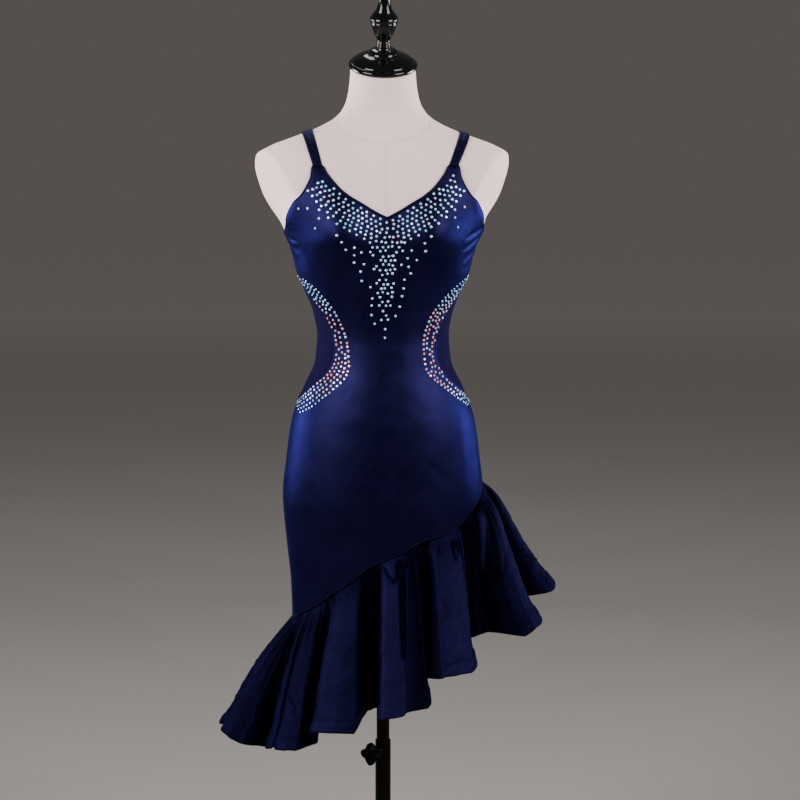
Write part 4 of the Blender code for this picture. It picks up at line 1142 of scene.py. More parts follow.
def neck_row_places(rng):
    """Rows at set distances under the neckline on both sides, each a little uneven."""
    places = []
    edge = through(NECKLINE, 300)
    edge = figure(*edge.T)[:, (0, 2)]
    run = run_along(edge)
    slope = np.gradient(edge, axis=0)
    down = unit(np.stack([slope[:, 1], -slope[:, 0]], -1))
    along, across = NECK_STONES.uneven_along, NECK_STONES.uneven_down
    for number, (depth, apart, start, end) in enumerate(zip(*NECK_ROWS.values())):
        at = np.arange(start * run[-1] + apart * (0.25 + 0.5 * (number % 2)), end * run[-1], apart)
        for side in (-1, 1):
            spot = at + rng.uniform(-along, along, len(at)) * apart
            x = np.interp(spot, run, edge[:, 0] + down[:, 0] * depth)
            z = np.interp(spot, run, edge[:, 1] + down[:, 1] * depth)
            z = z + rng.uniform(-across, across, len(at)) * apart
            x = np.maximum(x, 0) * side
            places.append(np.stack([angle_at(x, z), z], -1))
    return places


def column_places(rng):
    """Short level rows down the centre front, as wide as the column, with some missing."""
    places = []
    across, up = COLUMN.uneven_across, COLUMN.uneven_up
    for number, z in enumerate(np.arange(COLUMN.top, COLUMN.low, -COLUMN.row)):
        half = np.interp(-z, -COLUMN.wide["height"], COLUMN.wide["half"])
        x = (np.arange(-4, 5) + 0.5 * (number % 2)) * COLUMN.pitch
        x = x[np.abs(x) <= half]
        x = (x if len(x) else np.zeros(1)) + rng.uniform(-across, across, max(len(x), 1))
        z = z + rng.uniform(-up, up, len(x))
        row = np.stack([angle_at(x + COLUMN.middle, z), z], -1)
        places.append(row[rng.uniform(size=len(x)) > COLUMN.missing])
    places.append(np.array([COLUMN.last]))
    return places


def with_scatter(places):
    """The places and scattered ones between them that keep far enough from every other."""
    loose = np.random.default_rng(SCATTER.seed)
    height, half = SCATTER.wide["height"][::-1], SCATTER.wide["half"][::-1]
    z = loose.uniform(height[0], height[-1], SCATTER.tries)
    x = loose.uniform(-1, 1, len(z)) * np.interp(z, height, half) + COLUMN.middle
    for spot in np.stack([angle_at(x, z), z], -1)[:, None]:
        gap = figure(*places.T) - figure(spot[0, 0], spot[0, 1])
        if norm(gap).min() > SCATTER.apart:
            places = np.concatenate([places, spot])
    return places


def neck_stone_places(rng, least):
    """Rows that follow the neckline, thinning out below, and a column down the front."""
    places = np.concatenate(neck_row_places(rng) + column_places(rng))
    places = with_scatter(places[spaced(figure(*places.T), least)])
    edge = through(NECKLINE, 200)
    edge = np.interp(np.abs(places[:, 0]), edge[:, 0], edge[:, 1])
    places = places[places[:, 1] < edge - NECK_STONES.below_edge]
    arm = np.interp(places[:, 1], FRONT_ARMHOLE["height"], FRONT_ARMHOLE["angle"])
    widest = np.minimum(NECK_STONES.widest, arm - NECK_STONES.off_armhole)
    return places[(places[:, 1] < NECK_STONES.top) & (np.abs(places[:, 0]) < widest)]


def crescent_stone_places(rng):
    """Five rows between each side opening's front edge and its crescent's inner edge."""
    places = []
    for side, word in SIDES:
        outer, inner = side_cut(SIDE_CUT.front_reach), through(CRESCENT[word], 65)
        outer = through(dict(angle=outer[:, 0], height=outer[:, 1]), 65)
        for share in CRESCENT["rows"]:
            line = outer * (1 - share) + inner * share
            line = line[line[:, 0] < CRESCENT["tip"] - CRESCENT["taper"] * share]
            line = inset_path(line, CRESCENT["inset"] * (1 - share))
            run = run_along(figure(*line.T))
            least, further = CRESCENT["starts"]
            at = np.arange(least + rng.uniform(0, further), run[-1], CRESCENT["pitch"])
            along = CRESCENT["uneven_along"]
            at = at + rng.uniform(-along, along, len(at))
            spot = read_off(at, run, line)
            spot = spot + rng.uniform(-1, 1, spot.shape) * CRESCENT["uneven"]
            places.append(spot * (side, 1))
    return np.concatenate(places)


def stone_tints_and_painted_light(rng, colours, blush, corners, brightest_table_highlight):
    """Each stone's colour at each of its points: a painted highlight on its table and painted shade
    on its facets.

    The stone's own colour goes from aqua to blush or lilac by its blush. Towards the
    table it turns white, a painted highlight; round the girdle each corner is darkened by its
    own share, and the base is darkened, as painted shade.
    """
    cool, warm, lilac, white = (np.array(one) for one in (
        colours.crystal, colours.blush, colours.lilac, (1.0, 1.0, 1.0, 1.0)))
    count = len(blush)
    warm = np.where(rng.uniform(size=(count, 1)) < STONE_TINT_AND_PAINTED_LIGHT.warm, warm, lilac)
    tone = cool + (warm - cool) * blush[:, None]
    tone = tone + (white - tone) * rng.uniform(0, STONE_TINT_AND_PAINTED_LIGHT.white, (count, 1))
    dull = 1 - STONE_TINT_AND_PAINTED_LIGHT.blush_dulls * blush[:, None, None]
    painted_table_highlight = rng.uniform(0, brightest_table_highlight, (count, 1, 1)) * dull
    tint = np.repeat(tone[:, None], corners, 1)
    tint[:, TABLE_POINTS] += (white - tint[:, TABLE_POINTS]) * painted_table_highlight
    dark = rng.uniform(*STONE_TINT_AND_PAINTED_LIGHT.crown, (count, 8, 1)) ** STONE_TINT_AND_PAINTED_LIGHT.crown_power
    tint[:, CROWN_POINTS, :3] *= dark
    tint[:, FOOT_POINTS, :3] *= STONE_TINT_AND_PAINTED_LIGHT.base
    tint[:, BACK_POINT, :3] *= STONE_TINT_AND_PAINTED_LIGHT.base
    return tint.reshape(-1, 4)


def off_middle(places):
    """How far from a crescent's tips places lie: 1 at its middle height, 0 at the tips."""
    return 1 - np.abs(places[:, 1] - CRESCENT["middle"]) / CRESCENT["half"]


def put_stones(sizes, colours, crystal):
    """The stones glued along the neckline and beside the side openings.

    Along the crescents their blush grows with the distance from the tips; elsewhere
    about one in eight has some.
    """
    rng = np.random.default_rng(STONE_SEED)
    shape, faces = stone_shape()
    radius = sizes.stone_radius
    sets = (("neck_stones", neck_stone_places(rng, STONE_GAP.neck * radius), False),
            ("side_stones", crescent_stone_places(rng), True))
    for name, places, crescent in sets:
        least = STONE_GAP.neck
        if crescent:
            middle = smooth_step(0, 0.7, off_middle(places))
            least = STONE_GAP.crescent + STONE_GAP.middle * middle
        places = places[spaced(figure(*places.T), radius * least)]
        centre = worn(places, panel_out(places[:, None], FRONT_CREASES, 0)[:, 0])
        normal = unit(outward(*places.T) + rng.normal(0, STONE_MAKE.tilt, centre.shape))
        size = radius * rng.uniform(STONE_MAKE.least, 1, len(places))
        if crescent:
            middle = off_middle(places)
            size = size * (STONE_MAKE.tip + STONE_MAKE.gain * smooth_step(0, 0.5, middle))
            chosen = rng.uniform(size=len(places)) < STONE_MAKE.blush
            blush = smooth_step(0.15, 0.6, middle) * chosen
        else:
            chosen = rng.uniform(size=len(places)) < STONE_MAKE.neck
            blush = np.where(chosen, STONE_MAKE.faint, 0.0)
        run = rng.normal(0, 1, normal.shape)
        # The most painted highlight a stone's table may take.
        brightest_table_highlight = STONE_TINT_AND_PAINTED_LIGHT.table_crescent if crescent else STONE_TINT_AND_PAINTED_LIGHT.table_neck
        points, shapes = small_shapes(shape, faces, centre, normal, run, size)
        put_piece(name, points, shapes, crystal, "form", "satin", smooth=False,
                  colours=stone_tints_and_painted_light(rng, colours, blush, len(shape), brightest_table_highlight))


# ---- form and stand
def closed_stack(rings):
    """Rings closed around and shut at both ends by a fan to the ring's middle."""
    rows, columns = rings.shape[:2]
    index = grid_index(rows, columns)
    faces = quads_of(np.concatenate([index, index[:, :1]], 1)).tolist()
    points = [rings.reshape(-1, 3), rings[0].mean(0)[None], rings[-1].mean(0)[None]]
    low, high = rows * columns, rows * columns + 1
    around = np.arange(columns)
    after = (around + 1) % columns
    faces += np.stack([index[0][after], index[0][around], np.full(columns, low)], -1).tolist()
    faces += np.stack([index[-1][around], index[-1][after], np.full(columns, high)], -1).tolist()
    return np.concatenate(points), faces


# The height of the seam at the neck's base, from the centre front to the centre back.
FORM_SEAMS = table("angle neck_height", [
    (0, 1.341), (10, 1.345), (33, 1.36), (67, 1.379), (90, 1.388), (135, 1.398),
    (180, 1.4),
])
COVER_SEAM = Sizes(trough=0.0009, trough_wide=0.0016, ridge=0.0004, ridge_wide=0.003, apart=0.004,
                   middle=0.0006, middle_wide=0.0014, stump=0.0004, stump_wide=0.003, stump_at=47)


def form_relief(angle, height):
    """The cover's sewn seams, as narrow bells: a trough with a ridge above it round the
    neck's base, a trough down each middle, and a shallow one on each stump.
    """
    around = np.abs((angle + 180) % 360 - 180)
    neck = np.interp(around, FORM_SEAMS["angle"], FORM_SEAMS["neck_height"])
    seam = COVER_SEAM
    relief = (-seam.trough * bell(height - neck, seam.trough_wide)
              + seam.ridge * bell(height - neck - seam.apart, seam.ridge_wide))
    below = smooth_step(0, seam.apart, neck - height)
    for middle in (0, 180):
        off = (around - middle) * METRES_PER_DEGREE * 2
        relief -= seam.middle * bell(off, seam.middle_wide) * below
    stump = bell((around - seam.stump_at) * METRES_PER_DEGREE, seam.stump_wide)
    return relief - seam.stump * stump * smooth_step(1.24, 1.28, height) * below


def put_form(cover, board):
    """The covered form with its seams, and the board under it.

    The cover's tint holds its distances from the neck's seam and the middle ones. The
    board is the form's foot drawn in by a margin, with rounded edges.
    """
    height = np.concatenate([np.linspace(FORM_FOOT, 1.16, 60, endpoint=False),
                             np.linspace(1.16, NECK_TOP - 0.0005, 160)])
    angle = np.linspace(-180, 180, 360, endpoint=False)
    grid = np.stack(np.meshgrid(angle, height), -1)
    rings = worn(grid, form_relief(grid[..., 0], grid[..., 1]))
    points, faces = closed_stack(rings)
    uv = np.concatenate([grid.reshape(-1, 2) * (METRES_PER_DEGREE, 1), np.zeros((2, 2))])
    around = np.abs(grid[..., 0])
    gaps = np.ones(grid.shape[:2] + (4,))
    gaps[..., 0] = grid[..., 1] - np.interp(around, FORM_SEAMS["angle"], FORM_SEAMS["neck_height"])
    gaps[..., 1] = np.where(gaps[..., 0] > 0, 1.0, METRES_PER_DEGREE * np.minimum(
        around, 180.0 - around))
    gaps = np.concatenate([gaps.reshape(-1, 4), np.ones((2, 4))])
    made = put_piece("form_cover", points, faces, cover, "form", "form_cover",
                     ("form_torso",), uv, colours=gaps)
    edge = figure(angle[::3], FORM_FOOT)
    length = norm(edge[:, :2])[:, None]
    top, thick, round_edge = FORM_FOOT - SEAM_GAP, BOTTOM_PLATE.thick, 0.0012
    rings = []
    for z, inset in ((top - thick, round_edge), (top - thick + round_edge, 0),
                     (top - round_edge, 0), (top, round_edge)):
        shrink = 1 - (BOTTOM_PLATE.margin + inset) / length
        ring = edge * shrink
        ring[:, 2] = z
        rings.append(ring)
    points, faces = closed_stack(np.stack(rings))
    put_piece("bottom_board", points, faces, board, "form", "black_board",
              ("form_bottom_plate",), smooth=False)


def rounded(profile, radius, steps=5, closed=False):
    """The profile with each corner turned into a parabola's arc of about that radius.

    The arc starts and ends at the radius from the corner, or at half the edge's length
    where the edge is short.
    """
    profile = np.array(profile, float)
    made = []
    count = len(profile)
    for k in range(count):
        if not closed and k in (0, count - 1):
            made.append(profile[k:k + 1])
            continue
        here, before, after = profile[k], profile[k - 1], profile[(k + 1) % count]
        one, two = before - here, after - here
        first, second = min(radius, 0.5 * norm(one)), min(radius, 0.5 * norm(two))
        start, end = here + unit(one) * first, here + unit(two) * second
        t = np.linspace(0, 1, steps)[:, None]
        made.append((1 - t) ** 2 * start + 2 * t * (1 - t) * here + t * t * end)
    path = np.concatenate(made)
    fresh = norm(np.diff(path, axis=0)) > 1e-6
    return path[np.concatenate([[True], fresh])]


def lathe(profile, place=Matrix(), columns=96, lobes=0, lobe_depth=0):
    """Points and faces of a profile of (radius, height, lobe share) turned round Z.

    Where it ends off the axis it closes on itself, which leaves a bore. Lobes are a
    cosine taken from the radius.
    """
    radius, height, share = profile.T
    turn = np.linspace(0, 2 * math.pi, columns, endpoint=False)
    reach = radius[:, None] - share[:, None] * lobe_depth * (0.5 - 0.5 * np.cos(lobes * turn))
    reach = np.where(radius[:, None] > 0, np.maximum(reach, 0.0), 0.0)
    rings = np.stack([reach * np.cos(turn), reach * np.sin(turn),
                      np.broadcast_to(height[:, None], reach.shape)], -1)
    turn_to = np.array(place.to_3x3())
    rings = rings @ turn_to.T + np.array(place.translation)
    if radius[0] > 0:
        rings = np.concatenate([rings, rings[:1]])
        index = grid_index(len(rings) - 1, columns)
        index = np.concatenate([index, index[:1]])
        faces = quads_of(np.concatenate([index, index[:, :1]], 1))
        return rings[:-1].reshape(-1, 3), faces.tolist()
    return closed_stack(rings[1:-1])


def profile_of(rows):
    """A (radius, height) profile with no lobes."""
    rows = np.array(rows, float)
    return np.column_stack([rows, np.zeros(len(rows))])


def put_lathe(name, profile, material, body, slot, node, place=Matrix(), edge=0.0008, columns=96,
              closed=False, extra=(), **more):
    """One turned piece with softened edges, and any further shells that belong to it."""
    shell = lathe(rounded(profile, edge, closed=closed), place, columns, **more)
    made = put_piece(name, *joined([shell, *extra]), material, body, slot, (node,))
    made.data.set_sharp_from_angle(angle=math.radians(50))
    return made


def put_neck_finish(lacquer):
    """The domed cap and the turned finial, square to the leaning neck."""
    place = Matrix.Translation((0, 0, NECK_TOP)) @ Matrix.Rotation(NECK_LEAN, 4, "X")
    lift, rim = SEAM_GAP, CAP_RIM
    put_lathe("turned_cap", profile_of([
        (0, lift), (rim - 0.002, lift), (rim, lift + 0.002), (rim, 0.006),
        (rim - 0.0025, 0.0088), (0.0494, 0.0093), (0.0482, 0.012), (0.0452, 0.0143),
        (0.04, 0.0174), (0.032, 0.0208), (0.0236, 0.0234), (0.0232, 0.0258),
        (0.0208, 0.0284), (0.0165, 0.03), (0.013, 0.0308),
        (0.0122, CAP_TOP), (0, CAP_TOP),
    ]), lacquer, "form", "gloss_wood", "neck_cap", place, edge=0.0014)
    collar = CAP_TOP + SEAM_GAP
    put_lathe("turned_finial", profile_of([
        (0, collar), (0.0113, collar), (0.0119, 0.036), (0.0106, 0.0375),
        (0.0118, 0.039), (0.0106, 0.0405), (0.0116, 0.0422), (0.0097, 0.0445),
        (0.013, 0.051), (0.0168, 0.058), (0.0208, 0.0715), (0.0212, 0.0745),
        (0.02, 0.0765), (0.0222, 0.0795), (0.0216, 0.0825), (0.018, 0.087),
        (0.0135, 0.093), (0.0112, 0.099), (0.0084, 0.111), (0.0066, 0.125),
        (0.006, 0.138), (0.0082, 0.141), (0.0066, 0.144), (0.0094, 0.15),
        (0.0094, 0.155), (0.006, 0.16), (0, 0.162),
    ]), lacquer, "form", "gloss_wood", "finial", place, edge=0.01, columns=72)


# The clamp screw's axis, from the pole's middle outwards.
CLAMP_AXIS = (Matrix.Translation((0, 0, CLAMP_HEIGHT)) @ Matrix.Rotation(KNOB_TURN, 4, "Z")
              @ Matrix.Rotation(-math.pi / 2, 4, "Y"))


def put_stand(enamel):
    """The socket under the form, the sliding pole, the fixed tube with its boss, the base."""
    top = FORM_FOOT - BOTTOM_PLATE.thick - 2 * SEAM_GAP
    bottom, floor = top - SOCKET.depth, top - SOCKET.floor
    bore = POLE_RADIUS + POLE_SLIDE_GAP
    put_lathe("socket_cup", profile_of([
        (0, floor), (bore, floor), (bore, bottom), (SOCKET.radius, bottom),
        (SOCKET.radius, top - SOCKET.flange_thick),
        (SOCKET.flange, top - SOCKET.flange_thick), (SOCKET.flange, top),
        (0, top),
    ]), enamel, "form", "black_enamel", "pole_socket")
    low, high = TUBE_TOP - POLE_INSERTION, floor - SEAM_GAP
    put_lathe("sliding_pole", profile_of([
        (0, low), (POLE_RADIUS, low), (POLE_RADIUS, high), (0, high),
    ]), enamel, "pole", "black_enamel", "inner_pole", edge=0.0012)
    foot = BASE.thick + SEAM_GAP
    end, hole = TUBE_RADIUS + KNOB.boss, KNOB.screw_radius + SEAM_GAP
    inside = POLE_RADIUS + 2 * POLE_SLIDE_GAP
    boss = lathe(rounded(profile_of([
        (hole, inside), (KNOB.boss_radius + 0.0012, inside), (KNOB.boss_radius, end - 0.002),
        (KNOB.boss_radius, end), (hole, end),
    ]), 0.0007, closed=True), CLAMP_AXIS, 64)
    put_lathe("fixed_tube", profile_of([
        (bore, foot), (TUBE_RADIUS, foot), (TUBE_RADIUS, TUBE_TOP), (bore, TUBE_TOP),
    ]), enamel, "stand", "black_enamel", "outer_tube", edge=0.0008, closed=True, extra=(boss,))
    radius, thick = BASE.radius, BASE.thick
    hub = TUBE_RADIUS + SEAM_GAP
    put_lathe("round_base", profile_of([
        (0, 0), (radius, 0), (radius, thick), (BASE.hub_radius + 0.004, thick),
        (BASE.hub_radius, thick + 0.001), (BASE.hub_radius - 0.004, BASE.hub_height),
        (hub, BASE.hub_height), (hub, thick), (0, thick),
    ]), enamel, "stand", "black_enamel", "base_plate", edge=0.0028, columns=160)


def put_knob(plastic):
    """The lobed grip with its neck and screw, turned on the screw's axis."""
    start, tip = TUBE_RADIUS + KNOB.boss + SEAM_GAP, POLE_RADIUS + SEAM_GAP
    grip = start + KNOB.neck
    head, radius = KNOB.head, KNOB.radius
    profile = np.array([
        (0.0, tip, 0.0), (KNOB.screw_radius, tip, 0.0), (KNOB.screw_radius, start, 0.0),
        (KNOB.neck_radius, start, 0.0), (KNOB.neck_radius, grip, 0.0),
        (radius - 0.0025, grip + 0.0015, 0.7), (radius, grip + 0.0045, 1.0),
        (radius, grip + head - 0.004, 1.0), (radius - 0.0045, grip + head, 0.7),
        (0.0095, grip + head, 0.0), (0.008, grip + head - 0.0012, 0.0),
        (0.0, grip + head - 0.0012, 0.0),
    ])
    put_lathe("grip_knob", profile, plastic, "knob", "black_plastic", "clamp_knob", CLAMP_AXIS,
              edge=0.0018, columns=144, lobes=KNOB.lobes, lobe_depth=KNOB.lobe_depth)


# ---- finishes
MIX_INPUTS, MIX_RESULT = (0, 6, 7), 2  # the Mix node's sockets for two colours


class Finish:
    """A node material: helpers that add nodes to its tree and join them."""

    def __init__(self, name, colour, roughness, **sockets):
        self.material = bpy.data.materials.new(name)
        self.material.use_nodes = True
        self.tree = self.material.node_tree
        self.shader = self.tree.nodes["Principled BSDF"]
        self.shader.inputs["Base Color"].default_value = colour
        self.shader.inputs["Roughness"].default_value = roughness
        self.material.diffuse_color = colour
        for socket, value in sockets.items():
            self.shader.inputs[socket.replace("_", " ")].default_value = value

    def join(self, value, socket):
        """A socket linked to another one, or set to a number or colour."""
        if isinstance(value, bpy.types.NodeSocket):
            self.tree.links.new(value, socket)
        elif value is not None:
            socket.default_value = value

    def add(self, kind, *inputs, out=0, **settings):
        """A node with its settings, and its inputs joined or set in order."""
        node = self.tree.nodes.new("ShaderNode" + kind)
        for name, value in settings.items():
            setattr(node, name, value)
        for socket, value in zip(node.inputs, inputs):
            self.join(value, socket)
        return node.outputs[out]

    def named(self, kind, **inputs):
        """A node's outputs, its inputs joined or set by name."""
        node = self.add(kind).node
        for name, value in inputs.items():
            self.join(value, node.inputs[name])
        return node.outputs

    def sums(self, operation, a, b=None):
        """One Math node."""
        return self.add("Math", a, b, operation=operation)

    def tint(self, kind="Color"):
        """The piece's tint attribute, as a colour or as a Vector of three numbers: the stones'
        colours with their painted highlights and shade, the flounce's painted fold shade, or the
        cover's seam distances.
        """
        return self.add("Attribute", attribute_name="tint").node.outputs[kind]

    def place(self, kind, scale=(1, 1, 1)):
        """Coordinates of that kind, UV or Object, scaled on each axis."""
        source = self.named("TexCoord")[kind]
        return self.named("Mapping", Vector=source, Scale=scale)["Vector"]

    def noise(self, where, scale, detail=3):
        """Smooth noise, mostly between 0.3 and 0.7."""
        return self.named("TexNoise", Vector=where, Scale=scale, Detail=detail)["Fac"]

    def spread(self, value, low, high, to_low=0, to_high=1):
        """The value's range from low to high, stretched to another one and held there."""
        return self.add("MapRange", value, low, high, to_low, to_high)

    def blend(self, share, one, two, mode="MIX"):
        """One colour or socket mixed with another by a share."""
        made = self.add("Mix", data_type="RGBA", blend_type=mode).node
        for value, socket in zip((share, one, two), MIX_INPUTS):
            self.join(value, made.inputs[socket])
        return made.outputs[MIX_RESULT]

    def shades(self, share, colour, dark, light):
        """A darker and a lighter shade of the colour, blended by a share."""
        return self.blend(share, shade(colour, dark), shade(colour, light))

    def bump(self, height, strength, distance, after=None):
        """A bumped normal, on top of the one before it where there is one."""
        return self.named("Bump", Strength=strength, Distance=distance, Height=height,
                          Normal=after)["Normal"]

    def finish(self, colour=None, roughness=None, normal=None, alpha=None):
        """The material, with what varies over its surface joined to the shader."""
        for name, value in (("Base Color", colour), ("Roughness", roughness),
                            ("Normal", normal), ("Alpha", alpha)):
            if value is not None:
                self.join(value, self.shader.inputs[name])
        return self.material


def shade(colour, amount):
    """The colour made lighter or darker by a share."""
    return (*(min(1, channel * amount) for channel in colour[:3]), 1)


def weave(made, where, pitch):
    """Threads over and under: the product of two sines at right angles."""
    parts = made.add("SeparateXYZ", where).node
    waves = [made.sums("SINE", made.sums("MULTIPLY", parts.outputs[axis], 2 * math.pi / pitch))
             for axis in ("X", "Y")]
    return made.sums("MULTIPLY", *waves)


def satin_finish(name, sheen, colour, roughness, pitch, gloss, folded):
    """Stretch satin: dark dye, soft blue gloss, a fine weave and faint lengthwise slubs.

    Where it is folded, the painted fold shade in its tint darkens it deep in the folds.
    """
    made = Finish(name, colour, roughness, Metallic=gloss,
                  Specular_IOR_Level=0.02 if folded else 0.14,
                  Specular_Tint=sheen, Sheen_Weight=0.05, Sheen_Roughness=0.35, Sheen_Tint=sheen,
                  Anisotropic=0.25)
    where = made.place("UV")
    drift = made.noise(where, 14, 3)
    slub = made.noise(made.place("UV", (900, 55, 1)), 1, 2)
    tone = made.shades(made.spread(drift, 0.3, 0.7), colour, 0.82, 1.2)
    tone = made.blend(made.spread(slub, 0.35, 0.75, 0, 0.2), tone, shade(sheen, 0.04))
    if folded:
        # Painted shade: the tint darkens the flounce deep in its folds.
        tone = made.blend(1, tone, made.tint(), "MULTIPLY")
    rough = made.spread(made.noise(where, 60, 2), 0.3, 0.7, roughness - 0.04, roughness + 0.05)
    normal = made.bump(weave(made, where, pitch), 0.16, 0.0002)
    normal = made.bump(slub, 0.1, 0.00025, normal)
    normal = made.bump(made.noise(where, 95, 3), 0.1, 0.0006, normal)
    return made.finish(tone, rough, normal)


def net_finish(name, colour, sheen, pitch):
    """Stretch net: dark threads with small holes, from three cosines at 60 degrees."""
    made = Finish(name, colour, 0.62, Metallic=0.3, Specular_IOR_Level=0.02, Specular_Tint=sheen,
                  Sheen_Weight=0.02, Sheen_Tint=sheen, Sheen_Roughness=0.5)
    where = made.place("UV")
    parts = made.add("SeparateXYZ", where).node
    slants = []
    for turn in (0, math.pi / 3, -math.pi / 3):
        along = made.sums("MULTIPLY", parts.outputs["X"], math.cos(turn))
        up = made.sums("MULTIPLY", parts.outputs["Y"], math.sin(turn))
        total = made.sums("MULTIPLY", made.sums("ADD", along, up), 2 * math.pi / pitch)
        slants.append(made.sums("COSINE", total))
    lattice = made.sums("ADD", made.sums("ADD", slants[0], slants[1]), slants[2])
    holes = made.spread(lattice, 1.9, 2.95, 1, 0.92)
    drift = made.noise(where, 25, 2)
    tone = made.shades(drift, colour, 0.8, 1.25)
    normal = made.bump(lattice, 0.5, 0.00018)
    return made.finish(tone, made.spread(drift, 0.3, 0.7, 0.55, 0.7), normal, holes)


def crystal_finish(name):
    """Foil-backed cut glass: each stone's tint, with a painted sheen that is brighter face on and
    darker edge-on, and a slight cloudiness.
    """
    made = Finish(name, (0.8, 0.85, 0.9, 1), 0.1, Metallic=0.2, Specular_IOR_Level=0.9,
                  Coat_Weight=0.5, Coat_Roughness=0.04)
    tint = made.tint()
    where = made.place("Object")
    cloud = made.noise(where, 420, 1)
    facing = made.add("LayerWeight").node
    facing.inputs["Blend"].default_value = 0.35
    deep = made.blend(0.45, tint, (0.3, 0.42, 0.62, 1), "MULTIPLY")
    tone = made.blend(made.spread(cloud, 0.4, 0.65, 0, 0.55), tint, deep)
    # Painted sheen: the stone's colour is darker edge-on and brighter face on.
    tone = made.blend(facing.outputs["Facing"], tone, deep)
    return made.finish(tone, made.spread(cloud, 0.3, 0.7, 0.06, 0.18))


def cover_finish(name, colour):
    """Jersey stretched over the form: fine knit columns, soft mottling and faint grime."""
    made = Finish(name, colour, 0.85, Sheen_Weight=0.1, Sheen_Roughness=0.6,
                  Sheen_Tint=(1, 0.92, 0.91, 1), Specular_IOR_Level=0.15)
    where = made.place("UV")
    body = made.place("Object")
    mottle = made.noise(body, 9, 4)
    speck = made.noise(body, 240, 2)
    tone = made.shades(made.spread(mottle, 0.3, 0.7), colour, 0.93, 1.04)
    tone = made.blend(made.spread(speck, 0.45, 0.8, 0, 0.25), tone, shade(colour, 0.8))
    gaps = made.add("SeparateXYZ", made.tint("Vector")).node.outputs
    near = [made.spread(made.sums("ABSOLUTE", gaps[axis]), 0, wide, 1, 0)
            for axis, wide in (("X", 0.0016), ("Y", 0.0012))]
    seams = made.sums("MAXIMUM", *near)
    tone = made.blend(made.sums("MULTIPLY", seams, 0.22), tone, shade(colour, 0.52))
    tone = made.blend(made.spread(gaps["X"], 0, 0.004, 0, 0.5), tone, shade(colour, 1.06))
    knit = weave(made, where, 0.0011)
    normal = made.bump(knit, 0.22, 0.0003)
    normal = made.bump(made.sums("MULTIPLY", seams, -1), 0.5, 0.0006, normal)
    normal = made.bump(made.noise(body, 60, 3), 0.12, 0.0012, normal)
    return made.finish(tone, made.spread(mottle, 0.3, 0.7, 0.8, 0.92), normal)


def hard_finish(name, colour, roughness, grain, strength, coat, wear, shine):
    """Lacquer, enamel or moulded plastic: fine grain, uneven gloss and faint dust."""
    made = Finish(name, colour, roughness, Specular_IOR_Level=shine, Coat_Weight=coat,
                  Coat_Roughness=0.05)
    where = made.place("Object")
    fine = made.noise(where, grain, 3)
    broad = made.noise(where, 18, 4)
    tone = made.blend(made.spread(broad, 0.4, 0.75, 0, 0.3), colour,
                      (0.006 + wear, 0.006 + wear, 0.006 + wear, 1))
    rough = made.spread(broad, 0.3, 0.7, roughness * 0.75, roughness * 1.35)
    return made.finish(tone, rough, made.bump(fine, strength, 0.0004))


def thread_finish(name, colour, pitch):
    """Sewing thread: two plies seen as slanting stripes."""
    made = Finish(name, colour, 0.5, Sheen_Weight=0.2, Sheen_Tint=colour)
    parts = made.add("SeparateXYZ", made.place("Object")).node
    total = made.sums("ADD", parts.outputs["X"], parts.outputs["Z"])
    ply = made.sums("SINE", made.sums("MULTIPLY", total, 2 * math.pi / pitch))
    tone = made.shades(made.spread(ply, -1, 1), colour, 0.7, 1.5)
    return made.finish(tone, 0.5, made.bump(ply, 0.3, 0.0001))


def floor_finish(name, colour):
    """Seamless paper: pale, with the faintest mottling, and painted paler far away, where the lamps'
    light falls off, to meet the room's tone.
    """
    made = Finish(name, colour, 0.9, Specular_IOR_Level=0.2)
    drift = made.noise(made.place("Object"), 1.3, 3)
    fine = made.noise(made.place("Object"), 700, 2)
    tone = made.shades(made.spread(drift, 0.3, 0.7), colour, 0.97, 1.02)
    # Painted light: far out the paper turns nearly white, standing in for light where the lamps'
    # light fades.
    away = made.add("VectorMath", made.place("Object"), operation="LENGTH", out=1)
    tone = made.blend(made.spread(away, 3, 12), tone, (0.98, 0.98, 0.98, 1))
    return made.finish(tone, 0.9, made.bump(fine, 0.05, 0.0005))


